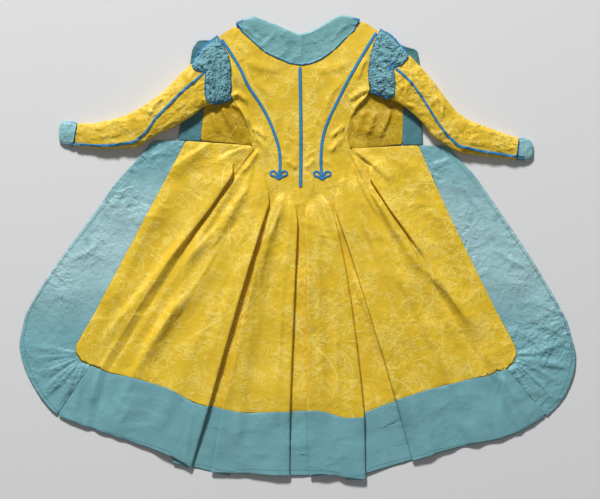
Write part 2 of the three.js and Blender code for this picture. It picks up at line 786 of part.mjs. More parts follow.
// A point lifted off the sleeve's surface at one of its columns.
function outside(table, s, j, lift) {
  const ring = aroundSleeve(table, s);
  const along = aroundSleeve(table, s + 0.1)[j].sub(aroundSleeve(table, Math.max(0, s - 0.1))[j]);
  const before = ring[j].clone().sub(ring[j - 1]).cross(along).normalize();
  const after = ring[j + 1].clone().sub(ring[j]).cross(along).normalize();
  const n = before.clone().add(after).normalize();
  const mitre = Math.min(1.8, 1 / Math.max(0.2, n.dot(before)));
  const outward = table === SLEEVE_STATIONS.left ? -1 : 1;
  return ring[j].clone().addScaledVector(n, outward * lift * mitre);
}

function cap(side) {
  const table = SLEEVE_STATIONS[side];
  const grid = [0, 0.2, 0.4, 0.6, 0.8, 1].map((f) => CAP_REACH[side].map((reach, k) => {
    const ruche = k % 2 === 1 && f > 0 && f < 1 ? 1.2 : 0;
    return outside(table, mix(CAP_START, reach, f), k + 2, SILK_WALL + CAP_LAY + ruche);
  }));
  const ordered = side === "left" ? grid : grid.map((row) => row.reverse());
  cloth(`cap_${side}`, ordered, TEAL, SILK_WALL);
}

cap("left");
cap("right");

// ---- flat braids ----------------------------------------------------------
const BRAID_LAY = SILK_WALL / 2 + 0.6 + BRAID_WALL / 2;

// A ribbon of points either side of a line that lies on the cloth.
function ribbon(centre, width, rows, place) {
  return spread(rows).map((t) => {
    const here = centre(t);
    const step = centre(Math.min(1, t + 0.01)).sub(centre(Math.max(0, t - 0.01)));
    const side = vec(-step.y, step.x).normalize();
    return [-1, 0, 1].map((k) => place(here.clone().addScaledVector(side, k * width / 2), t, k));
  });
}

const onBack = (p) => onBody(p, BRAID_LAY);
const BACK_BRAID_LINE = line([[8.4, 503], [10, 400], [11, 270], [9.8, 167]]);
cloth("back_braid", ribbon(BACK_BRAID_LINE, BACK_BRAID_WIDTH, 14, onBack), BRAID, BRAID_WALL);

// The braid down the sleeve seam lies just outside the sleeve.
function sleeveBraid(side) {
  const table = SLEEVE_STATIONS[side];
  const reach = table.length - 1;
  const grid = spread(11, 2.1, reach - 0.06).map((s) => {
    const ring = aroundSleeve(table, s);
    const middle = outside(table, s, SEAM_COLUMN, BRAID_LAY + 0.25);
    const across = ring[SEAM_COLUMN + 1].clone().sub(ring[SEAM_COLUMN - 1]).normalize();
    return [-1, 0, 1].map((k) => middle.clone().addScaledVector(across, k * SLEEVE_BRAID_WIDTH / 2));
  });
  const ordered = side === "left" ? grid : grid.map((row) => row.reverse());
  cloth(`sleeve_braid_${side}`, ordered, BRAID, BRAID_WALL);
}

sleeveBraid("left");
sleeveBraid("right");

// ---- collar: stands from the neck edge, turns and falls over the back ------
// Columns are [neck x, y, fold x, y, edge x, y] from left to right.
const COLLAR = [
  [-168, 613, -170, 627, -156, 604],
  [-150, 609, -150, 635, -131, 580],
  [-124, 605, -122, 644, -104, 556],
  [-95, 600, -92, 633, -78, 538],
  [-62, 592, -60, 621, -50, 525],
  [-28, 587, -28, 607, -22, 513],
  [6, 582, 5, 594, 7, 508],
  [38, 587, 38, 601, 38, 513],
  [68, 595, 66, 616, 66, 524],
  [98, 604, 96, 634, 92, 542],
  [124, 611, 122, 648, 114, 560],
  [150, 618, 150, 643, 134, 582],
  [172, 624, 176, 636, 162, 606],
];
const COLLAR_LAY = SILK_WALL + 0.6;

const collarGrid = COLLAR.map(([nx, ny, fx, fy, ex, ey]) => {
  const neck = vec(nx, ny);
  const turn = vec(fx, fy);
  const edge = vec(ex, ey);
  const fall = edge.clone().sub(turn);
  const reach = fall.length();
  fall.normalize();
  const down = (distance) => turn.clone().addScaledVector(fall, distance);
  const neckDrop = Math.min(reach * 0.6, neck.clone().sub(turn).dot(fall));
  return [
    onBody(neck, COLLAR_LAY),
    onBody(neck.clone().lerp(turn, 0.6), COLLAR_LAY),
    onBody(down(3), COLLAR_LAY),
    onBody(turn, COLLAR_LAY + 2.2),
    onBody(down(3), COLLAR_LAY + 4.4),
    onBody(down(neckDrop + 1), COLLAR_LAY + 3.4),
    onBody(down(mix(neckDrop, reach, 0.3)), COLLAR_LAY + 0.8),
    onBody(down(mix(neckDrop, reach, 0.65)), COLLAR_LAY),
    onBody(edge, COLLAR_LAY),
  ];
});
cloth("collar", collarGrid, TEAL, SILK_WALL);

// ---- curved braids, each ending in a bow of two open loops ------------------
const wasm = await Module();
wasm.setup();

// One loop of the bow, as steps [sideways, up] from the point of the bow.
const LOOP = [[0, 5], [11, 12.5], [21, 15.5], [24, 21], [19, 27], [10.5, 26], [3.5, 15]];
const LOOP_WIDTH = 5;

function asManifold(places, index) {
  const vertProperties = new Float32Array(places);
  const triVerts = new Uint32Array(index);
  return new wasm.Manifold(new wasm.Mesh({ numProp: 3, vertProperties, triVerts }));
}

// A flat ring of braid round a closed loop at one height.
function loopRing(tip, sign, z) {
  const knots = LOOP.map(([dx, dy]) => vec(tip.x + sign * dx, tip.y + dy));
  const path = new THREE.CatmullRomCurve3(knots, true, "centripetal");
  const count = 20;
  const section = [[-1, -1], [1, -1], [1, 1], [-1, 1]];
  const places = [];
  const index = [];
  for (let i = 0; i < count; i += 1) {
    const here = path.getPointAt(i / count);
    const step = path.getTangentAt(i / count);
    section.forEach(([a, b]) => {
      const out = vec(-step.y, step.x).multiplyScalar(sign * a * LOOP_WIDTH / 2);
      places.push(here.x + out.x, here.y + out.y, z + b * BRAID_WALL / 2);
    });
    for (let k = 0; k < 4; k += 1) {
      const p = i * 4 + k;
      const q = i * 4 + (k + 1) % 4;
      const p2 = ((i + 1) % count) * 4 + k;
      const q2 = ((i + 1) % count) * 4 + (k + 1) % 4;
      if (sign > 0) index.push(p, q, q2, p, q2, p2);
      else index.push(p, q2, q, p, p2, q2);
    }
  }
  return asManifold(places, index);
}

function curvedBraid(side, tip) {
  const upper = spread(9).map((t) => CURVED_SEAM[side](mix(0.012, 0.9, t)));
  const path = line([...upper.map((p) => [p.x, p.y]), [tip.x, tip.y + 14], [tip.x, tip.y + 5]]);
  const grid = ribbon(path, CURVED_BRAID_WIDTH, 26, onBack);
  const { places, index } = wallOf(grid, BRAID_WALL);
  const z = bodiceZ(tip.x, tip.y) + BRAID_LAY;
  let whole = asManifold(places, index);
  whole = whole.add(loopRing(tip, 1, z));
  whole = whole.add(loopRing(tip, -1, z));
  const mesh = whole.getMesh();
  solid(`curved_braid_${side}`, Float32Array.from(mesh.vertProperties), Array.from(mesh.triVerts), BRAID);
}

curvedBraid("left", vec(-51, 185));
curvedBraid("right", vec(70.5, 184));

// ---- place the garment over its own middle ---------------------------------
const box = new THREE.Box3().setFromObject(group);
const middle = box.getCenter(vec(0, 0, 0));
group.children.forEach((mesh) => mesh.geometry.translate(-middle.x, -middle.y, 0));

export default group;
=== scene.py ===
import math

import bmesh
import bpy
import numpy as np
from mathutils import Matrix, Vector
from mathutils.bvhtree import BVHTree
from mathutils.kdtree import KDTree


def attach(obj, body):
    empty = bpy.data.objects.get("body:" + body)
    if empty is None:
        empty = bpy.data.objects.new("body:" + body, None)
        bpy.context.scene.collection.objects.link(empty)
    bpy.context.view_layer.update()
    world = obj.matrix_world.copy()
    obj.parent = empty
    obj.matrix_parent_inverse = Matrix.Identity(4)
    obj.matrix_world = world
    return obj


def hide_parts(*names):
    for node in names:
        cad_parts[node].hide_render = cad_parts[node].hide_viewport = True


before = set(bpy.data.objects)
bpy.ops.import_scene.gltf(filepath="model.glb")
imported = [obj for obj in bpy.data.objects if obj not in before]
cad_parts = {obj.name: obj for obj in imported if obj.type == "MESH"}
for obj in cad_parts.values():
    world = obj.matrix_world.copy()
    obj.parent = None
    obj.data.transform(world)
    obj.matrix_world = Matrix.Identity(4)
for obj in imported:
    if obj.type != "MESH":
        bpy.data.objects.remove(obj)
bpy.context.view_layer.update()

# The garment's own tables are in millimetres, and MIDDLE is the part's origin in them.
MM = 0.001
MIDDLE = (1.27, -0.665)


def place(x, y, z=0.0):
    """A point of the garment's tables, in metres in the part's own frame."""
    return Vector(((x - MIDDLE[0]) * MM, (y - MIDDLE[1]) * MM, z * MM))


# ---------------------------------------------------------------- materials

def new_group(name, inputs, outputs):
    """The wiring of an empty shader group with the given sockets, and its two end nodes."""
    group = bpy.data.node_groups.new(name, "ShaderNodeTree")
    kinds = {"vector": "NodeSocketVector", "value": "NodeSocketFloat"}
    for label, kind in inputs:
        group.interface.new_socket(label, in_out="INPUT", socket_type=kinds[kind])
    for label, kind in outputs:
        group.interface.new_socket(label, in_out="OUTPUT", socket_type=kinds[kind])
    return Wiring(group), group.nodes.new("NodeGroupInput"), group.nodes.new("NodeGroupOutput")


def new_material(name):
    """A material, the wiring of its nodes, and its surface shader."""
    material = bpy.data.materials.new(name)
    material.use_nodes = True
    return material, Wiring(material.node_tree), material.node_tree.nodes["Principled BSDF"]


def preset(node, **values):
    """Sets the named inputs of a node, with low lines for the spaces in their names."""
    for label, value in values.items():
        node.inputs[label.replace("_", " ")].default_value = value


class Wiring:
    """Short ways to add and join nodes in one tree."""

    def __init__(self, tree):
        self.tree = tree

    def add(self, kind, **settings):
        node = self.tree.nodes.new(kind)
        for key, value in settings.items():
            setattr(node, key, value)
        return node

    def join(self, source, target):
        self.tree.links.new(source, target)

    def feed(self, socket, value):
        if isinstance(value, bpy.types.NodeSocket):
            self.join(value, socket)
        else:
            socket.default_value = value

    def math(self, operation, a, b=0.0):
        node = self.add("ShaderNodeMath", operation=operation)
        self.feed(node.inputs[0], a)
        self.feed(node.inputs[1], b)
        return node.outputs[0]

    def times(self, first, *others):
        for value in others:
            first = self.math("MULTIPLY", first, value)
        return first

    def plus(self, a, b):
        return self.math("ADD", a, b)

    def less(self, a, b):
        return self.math("SUBTRACT", a, b)

    def max(self, a, b):
        return self.math("MAXIMUM", a, b)

    def abs(self, value):
        return self.math("ABSOLUTE", value)

    def use(self, tree, vector, **values):
        """One of the groups below, fed with a place on the cloth."""
        node = self.add("ShaderNodeGroup", node_tree=tree)
        self.join(vector, node.inputs[0])
        preset(node, **values)
        return node

    def ramp(self, value, low, high, to_low=0.0, to_high=1.0):
        node = self.add("ShaderNodeMapRange", interpolation_type="SMOOTHSTEP", clamp=True)
        for socket, number in zip(node.inputs, (value, low, high, to_low, to_high)):
            self.feed(socket, number)
        return node.outputs[0]

    def noise(self, vector, scale, detail=2.0, rough=0.5, distort=0.0):
        node = self.add("ShaderNodeTexNoise", noise_dimensions="3D")
        self.feed(node.inputs["Vector"], vector)
        preset(node, Scale=scale, Detail=detail, Roughness=rough, Distortion=distort)
        return node.outputs[0]

    def scaled(self, vector, scale):
        node = self.add("ShaderNodeMapping", vector_type="POINT")
        self.feed(node.inputs["Vector"], vector)
        preset(node, Scale=scale)
        return node.outputs[0]

    def mix(self, share, a, b):
        node = self.add("ShaderNodeMix", data_type="RGBA")
        # Sockets 0, 6 and 7 are the share and the two colours, and output 2 is the colour.
        self.feed(node.inputs[0], share)
        self.feed(node.inputs[6], a)
        self.feed(node.inputs[7], b)
        return node.outputs[2]

    def parts(self, vector):
        """The x and y of a vector."""
        node = self.add("ShaderNodeSeparateXYZ")
        self.feed(node.inputs[0], vector)
        return node.outputs[0], node.outputs[1]


# Lines of the damask figure, in metres: the softness of a drawn edge, then the
# outer and inner bounds of the outlines of leaves, flowers and petal rings.
SOFT_EDGE = 0.001
LEAF_OUTLINE = (0.0038, 0.0022)
FLOWER_OUTLINE = (0.0042, 0.0026)
RING_OUTLINE = (0.0026, 0.0014)
STEM_OUTLINE = (0.0028, 0.0014)
VEIN_PITCH = 0.0052
EYE_PITCH = 0.0036
VEIN_SHARE = 0.5
RAY_SHARE = 0.45


def hatch(w, across, pitch):
    """Fine lines of the raised weave, between 0 and 1."""
    wave = w.math("SINE", w.times(across, 2 * math.pi / pitch))
    return w.ramp(wave, -0.3, 0.7)


def petal(w, x, y, cx, cy, turn, length, width, teeth, count):
    """A pointed leaf: its outline, its veins and, with teeth, a feathered edge."""
    c, s = math.cos(turn), math.sin(turn)
    dx = w.less(x, cx)
    dy = w.less(y, cy)
    along = w.plus(w.times(dx, c), w.times(dy, s))
    across = w.less(w.times(dy, c), w.times(dx, s))
    t = w.math("DIVIDE", along, length)
    inside = w.max(w.times(t, w.less(1.0, t)), 0.0)
    shape = w.times(w.math("POWER", inside, 0.75), width * 2.8)
    off = w.abs(across)
    if teeth:
        saw = w.math("FRACT", w.plus(w.times(t, count), w.times(off, -14.0)))
        shape = w.times(shape, w.less(1.0, w.times(saw, teeth)))
    gap = w.less(shape, off)
    body = w.ramp(gap, 0.0, SOFT_EDGE)
    edge = w.times(body, w.ramp(gap, *LEAF_OUTLINE))
    veins = hatch(w, w.less(along, w.times(off, 1.4)), VEIN_PITCH)
    fill = w.times(body, veins, VEIN_SHARE)
    return w.max(edge, fill)


def bloom(w, x, y, cx, cy, size, petals, phase):
    """A round open flower: two rings of petals drawn in outline about a seeded eye."""
    dx = w.less(x, cx)
    dy = w.less(y, cy)
    reach = w.math("SQRT", w.plus(w.times(dx, dx), w.times(dy, dy)))
    angle = w.math("ARCTAN2", dy, dx)
    wave = w.abs(w.math("SINE", w.plus(w.times(angle, petals / 2), phase)))
    outer = w.times(w.plus(w.times(wave, 0.34), 0.66), size)
    inner = w.times(w.less(0.62, w.times(wave, 0.2)), size)
    lip = w.less(outer, reach)
    whole = w.ramp(lip, 0.0, SOFT_EDGE)
    edge = w.times(whole, w.ramp(lip, *FLOWER_OUTLINE))
    ring = w.ramp(w.abs(w.less(inner, reach)), *RING_OUTLINE)
    eye = w.times(w.ramp(reach, size * 0.24, size * 0.2), hatch(w, dx, EYE_PITCH))
    rays = hatch(w, angle, 2 * math.pi / (petals * 4))
    fill = w.times(whole, rays, RAY_SHARE)
    return w.max(w.max(edge, ring), w.max(eye, fill))


# Flowers are (x, y, size, petals, phase) and leaves (x, y, turn, length, width, depth of
# the teeth, count of the teeth), in metres and radians inside one repeat of the cloth.
DAMASK_REPEAT = (0.27, 0.42)
DAMASK_FLOWERS = [
    (0.085, 0.10, 0.056, 7.0, 0.0),
    (0.195, 0.30, 0.044, 8.0, 0.6),
    (0.060, 0.335, 0.024, 5.0, 0.3),
    (0.215, 0.055, 0.020, 6.0, 0.9),
]
DAMASK_LEAVES = [
    (0.135, 0.13, 0.55, 0.12, 0.016, 0.5, 8.0),
    (0.120, 0.055, -0.35, 0.11, 0.014, 0.5, 7.0),
    (0.060, 0.155, 2.0, 0.10, 0.014, 0.5, 7.0),
    (0.160, 0.33, 2.6, 0.085, 0.013, 0.5, 6.0),
    (0.185, 0.255, -2.2, 0.10, 0.015, 0.5, 8.0),
    (0.215, 0.345, 1.1, 0.07, 0.012, 0.4, 5.0),
    (0.030, 0.20, 0.9, 0.06, 0.010, 0.0, 0.0),
    (0.235, 0.10, 1.9, 0.075, 0.011, 0.4, 6.0),
    (0.095, 0.24, -0.6, 0.05, 0.010, 0.0, 0.0),
]
# Fine scrolls between the flowers: their scale, and how wide a line is drawn.
SCROLLS = [(30.0, 0.05), (52.0, 0.07)]
SCROLL_SHARE = 0.62
STEM_SWING = 0.05
WANDER = 0.024  # how far the whole figure strays from its drawing


def damask_group():
    """Large flowers, feathered leaves and winding stems, in a half-drop repeat, with
    fine scrolls between them."""
    w, start, end = new_group("damask figure", [("Cloth", "vector")], [("Figure", "value")])
    cloth = start.outputs["Cloth"]
    wander = w.add("ShaderNodeTexNoise", noise_dimensions="3D")
    w.join(cloth, wander.inputs["Vector"])
    preset(wander, Scale=17.0, Detail=1.0)
    pull = w.add("ShaderNodeVectorMath", operation="MULTIPLY_ADD")
    w.join(wander.outputs["Color"], pull.inputs[0])
    pull.inputs[1].default_value = (WANDER, WANDER, 0.0)
    w.join(cloth, pull.inputs[2])
    x, y = w.parts(pull.outputs[0])
    wide, tall = DAMASK_REPEAT
    column = w.math("FLOOR", w.math("DIVIDE", x, wide))
    drop = w.times(w.math("MODULO", w.abs(column), 2.0), tall / 2)
    cx = w.less(x, w.times(column, wide))
    cy = w.math("MODULO", w.plus(w.plus(y, drop), tall * 100), tall)
    marks = [bloom(w, cx, cy, *flower) for flower in DAMASK_FLOWERS]
    marks += [petal(w, cx, cy, *leaf) for leaf in DAMASK_LEAVES]
    swing = w.times(w.math("SINE", w.times(cy, 2 * math.pi / tall)), STEM_SWING)
    stem = w.abs(w.less(cx, w.plus(swing, wide / 2)))
    figure = w.ramp(stem, *STEM_OUTLINE)
    for mark in marks:
        figure = w.max(figure, mark)
    faint = w.ramp(w.noise(cloth, 9.0, 2.0), 0.38, 0.6, 0.25, 1.0)
    figure = w.times(figure, faint)
    for size, line in SCROLLS:
        curl = w.noise(pull.outputs[0], size, 1.0, 0.5, 0.6)
        curl = w.ramp(w.abs(w.less(curl, 0.5)), line, line * 0.3)
        where = w.ramp(w.noise(cloth, size * 0.36, 1.0), 0.46, 0.6)
        figure = w.max(figure, w.times(curl, where, SCROLL_SHARE))
    w.join(figure, end.inputs["Figure"])
    return w.tree


def weave_group():
    """Fine crossing threads: how light and how high each spot of the cloth is."""
    w, start, end = new_group("silk weave", [("Cloth", "vector"), ("Thread", "value")],
                              [("Tone", "value"), ("Height", "value")])
    cloth = start.outputs["Cloth"]
    x, y = w.parts(cloth)
    turn = w.math("DIVIDE", 2 * math.pi, start.outputs["Thread"])
    warp = w.math("SINE", w.times(x, turn))
    weft = w.math("SINE", w.times(y, turn))
    cross = w.times(warp, weft)
    slub = w.noise(w.scaled(cloth, (24, 900, 1)), 1.0, 2.0)
    ribs = w.noise(w.scaled(cloth, (700, 30, 1)), 1.0, 1.0)
    tone = w.plus(w.times(cross, 0.12), w.times(w.plus(slub, ribs), 0.5))
    w.join(tone, end.inputs["Tone"])
    w.join(w.plus(w.times(cross, 0.5), slub), end.inputs["Height"])
    return w.tree


def age_group():
    """Slow changes of colour, and a few soft marks of age."""
    w, start, end = new_group("age", [("Place", "vector")], [("Fade", "value"), ("Mark", "value")])
    slow = w.noise(start.outputs["Place"], 3.1, 3.0, 0.55)
    spots = w.noise(start.outputs["Place"], 11.0, 3.0, 0.6, 0.4)
    w.join(w.ramp(slow, 0.3, 0.72), end.inputs["Fade"])
    w.join(w.ramp(spots, 0.66, 0.8), end.inputs["Mark"])
    return w.tree


def crinkle_group():
    """Short sharp creases and small dents in thin silk, as a height."""
    inputs = [("Cloth", "vector"), ("Size", "value"), ("Sharp", "value")]
    w, start, end = new_group("crinkle", inputs, [("Height", "value")])
    grow = w.add("ShaderNodeVectorMath", operation="SCALE")
    w.join(start.outputs["Cloth"], grow.inputs[0])
    w.join(start.outputs["Size"], grow.inputs["Scale"])
    cloth = grow.outputs[0]

    def crease(scale, distort):
        bump = w.noise(cloth, scale, 2.0, 0.5, distort)
        off = w.abs(w.less(w.times(bump, 2.0), 1.0))
        return w.ramp(off, 0.30, 0.0)

    broad = w.noise(cloth, 0.7, 2.0, 0.5, 0.4)
    middling = w.noise(cloth, 2.1, 3.0, 0.62, 0.7)
    patch = w.ramp(w.noise(cloth, 0.23, 1.0), 0.42, 0.62)
    sharp = w.times(crease(1.0, 0.25), 0.4)
    sharp = w.plus(sharp, w.times(crease(2.3, 0.15), 0.2))
    sharp = w.times(sharp, start.outputs["Sharp"])
    height = w.times(sharp, w.plus(w.times(patch, 0.85), 0.15))
    height = w.plus(height, w.times(broad, 0.9))
    height = w.plus(height, w.times(middling, 0.8))
    w.join(height, end.inputs["Height"])
    return w.tree


DAMASK, WEAVE, AGE, CRINKLE = damask_group(), weave_group(), age_group(), crinkle_group()

# How much of the dark colour the weave, the slow fading, the marks of age and the
# painted shade along the inner edge of a turned hem bring in, and how much of its own colour the
# figure shows.
WEAVE_SHARE = 0.25
FADE_SHARE = 0.25
MARK_SHARE = 0.14
HEM_LINE_SHADE_SHARE = 0.55
FIGURE_SHARE = 0.7
# Bounds of the paler middle of a border, along the garment, in metres. Above PALER_TO the border is
# darker, painted shadow of the sleeves; below PALER_FROM it is darker towards the corners.
PALER_FROM = (-0.30, -0.02)
PALER_TO = (0.27, 0.08)
HEM_TURN = 8.5  # width of the narrow hem in mm


def silk(name, base, dark, crinkle, dent, figure=None, thread=0.0011, rough=0.45,
         edging=None, paler_middle=None, shaded_hem_line=False, crease_shade=0.25, sharp=1.0):
    """One silk cloth: weave, age, crinkles with dents of a height in metres and painted shade in their
    hollows, a tone-on-tone figure, the braid along its edges, its paler middle with a darker top that
    is painted shadow, and painted shade along the inner edge of its hem."""
    material, w, shader = new_material(name)
    uv = w.add("ShaderNodeUVMap", uv_map="cloth").outputs[0]
    objects = w.add("ShaderNodeTexCoord").outputs["Object"]

    weave = w.use(WEAVE, uv, Thread=thread)
    age = w.use(AGE, objects)
    crush = w.use(CRINKLE, uv, Size=crinkle, Sharp=sharp)
    height = crush.outputs["Height"]

    tone = w.ramp(weave.outputs["Tone"], 0.2, 0.85)
    # Paler middle along the garment; the darker top of the border beside it is painted shadow of the
    # sleeves.
    if paler_middle is not None:
        along = w.parts(objects)[1]
        base = w.mix(w.times(w.ramp(along, *PALER_FROM), w.ramp(along, *PALER_TO)), base, paler_middle)
    colour = w.mix(w.times(tone, WEAVE_SHARE), base, dark)
    colour = w.mix(w.times(age.outputs["Fade"], FADE_SHARE), colour, dark)
    roughness = w.plus(w.times(tone, 0.08), rough)
    if figure is not None:
        drawn = w.use(DAMASK, uv).outputs["Figure"]
        colour = w.mix(w.times(drawn, FIGURE_SHARE), colour, figure)
        roughness = w.plus(roughness, w.times(drawn, 0.12))
        height = w.plus(height, w.times(drawn, 0.16))
    colour = w.mix(w.times(age.outputs["Mark"], MARK_SHARE), colour, dark)
    # Painted shade: the low parts of the crinkles are darkened towards the dark colour.
    low = w.ramp(crush.outputs["Height"], 1.05, 0.62)
    colour = w.mix(w.times(low, crease_shade), colour, dark)
    rim = w.add("ShaderNodeAttribute", attribute_type="GEOMETRY", attribute_name="rim").outputs["Fac"]
    if edging is not None:
        braid, wide = edging
        colour = w.mix(w.ramp(rim, wide, wide * 0.8), colour, braid)
    # Painted shade: a thin darker line along the inner edge of the turned hem.
    if shaded_hem_line:
        off = w.abs(w.less(rim, HEM_TURN))
        colour = w.mix(w.times(w.ramp(off, 1.6, 0.4), HEM_LINE_SHADE_SHARE), colour, dark)
    w.join(colour, shader.inputs["Base Color"])
    w.join(roughness, shader.inputs["Roughness"])
    preset(shader, Specular_IOR_Level=0.32)

    threads = w.add("ShaderNodeBump")
    preset(threads, Strength=0.4, Distance=0.00015)
    w.join(weave.outputs["Height"], threads.inputs["Height"])
    dents = w.add("ShaderNodeBump")
    preset(dents, Strength=1.0, Distance=dent)
    w.join(height, dents.inputs["Height"])
    w.join(threads.outputs[0], dents.inputs["Normal"])
    w.join(dents.outputs[0], shader.inputs["Normal"])
    return material


BRAID_BLUE = (0.035, 0.20, 0.40, 1)
BRAID_WIDE = 4.2  # mm of edging on the caps and the collar
CUFF_BRAID_WIDE = 3.0
YELLOW_SILK = silk("yellow silk damask", (0.84, 0.57, 0.035, 1), (0.68, 0.43, 0.015, 1),
                   figure=(1.0, 0.80, 0.20, 1), crinkle=13.0, dent=0.0023)
SLEEVE_SILK = silk("yellow silk damask of the sleeves", (0.82, 0.55, 0.035, 1), (0.62, 0.39, 0.015, 1),
                   figure=(0.98, 0.78, 0.20, 1), crinkle=19.0, dent=0.0032)
# Painted shade: the fronts get a darker yellow, a darker figure and darker crinkle hollows that stand
# for the shade of the sleeves over them.
FRONT_SILK_PAINTED_SHADE = silk("yellow silk damask of the fronts, with painted shade", (0.62, 0.40, 0.008, 1), (0.36, 0.20, 0.002, 1),
                   figure=(0.86, 0.63, 0.09, 1), crinkle=15.0, dent=0.0034, crease_shade=0.6)
BORDER_SILK = silk("blue silk of the border", (0.21, 0.45, 0.49, 1), (0.13, 0.34, 0.38, 1),
                   crinkle=19.0, dent=0.0028, rough=0.38, crease_shade=0.4, sharp=2.0,
                   paler_middle=(0.44, 0.66, 0.68, 1), shaded_hem_line=True)
# Painted shade: the front borders' darker blue stands for the shade of the sleeves over them.
FRONT_BLUE_PAINTED_SHADE = silk("blue silk of the front borders, with painted shade", (0.09, 0.25, 0.28, 1), (0.05, 0.16, 0.19, 1),
                   crinkle=20.0, dent=0.0024, rough=0.42)
CUFF_SILK = silk("blue silk of the cuffs", (0.29, 0.53, 0.55, 1), (0.16, 0.38, 0.41, 1),
                 crinkle=22.0, dent=0.0028, rough=0.4, edging=(BRAID_BLUE, CUFF_BRAID_WIDE))
COLLAR_SILK = silk("blue silk of the collar", (0.235, 0.49, 0.50, 1), (0.11, 0.31, 0.34, 1),
                   crinkle=15.0, dent=0.0036, rough=0.38, crease_shade=0.5, edging=(BRAID_BLUE, BRAID_WIDE))
HEM_SILK = silk("blue silk of the hem", (0.19, 0.43, 0.47, 1), (0.14, 0.34, 0.38, 1),
                crinkle=9.0, dent=0.0022, crease_shade=0.35)
CRINKLED_SILK = silk("crinkled blue silk", (0.20, 0.44, 0.48, 1), (0.05, 0.18, 0.24, 1),
                     crinkle=58.0, dent=0.0048, crease_shade=0.8, edging=(BRAID_BLUE, BRAID_WIDE))
BRAID_SILK = silk("blue silk braid", (0.04, 0.26, 0.52, 1), (0.02, 0.16, 0.36, 1),
                  thread=0.0022, rough=0.55, crinkle=300.0, dent=0.0005)


# ------------------------------------------------------------- cloth shapes

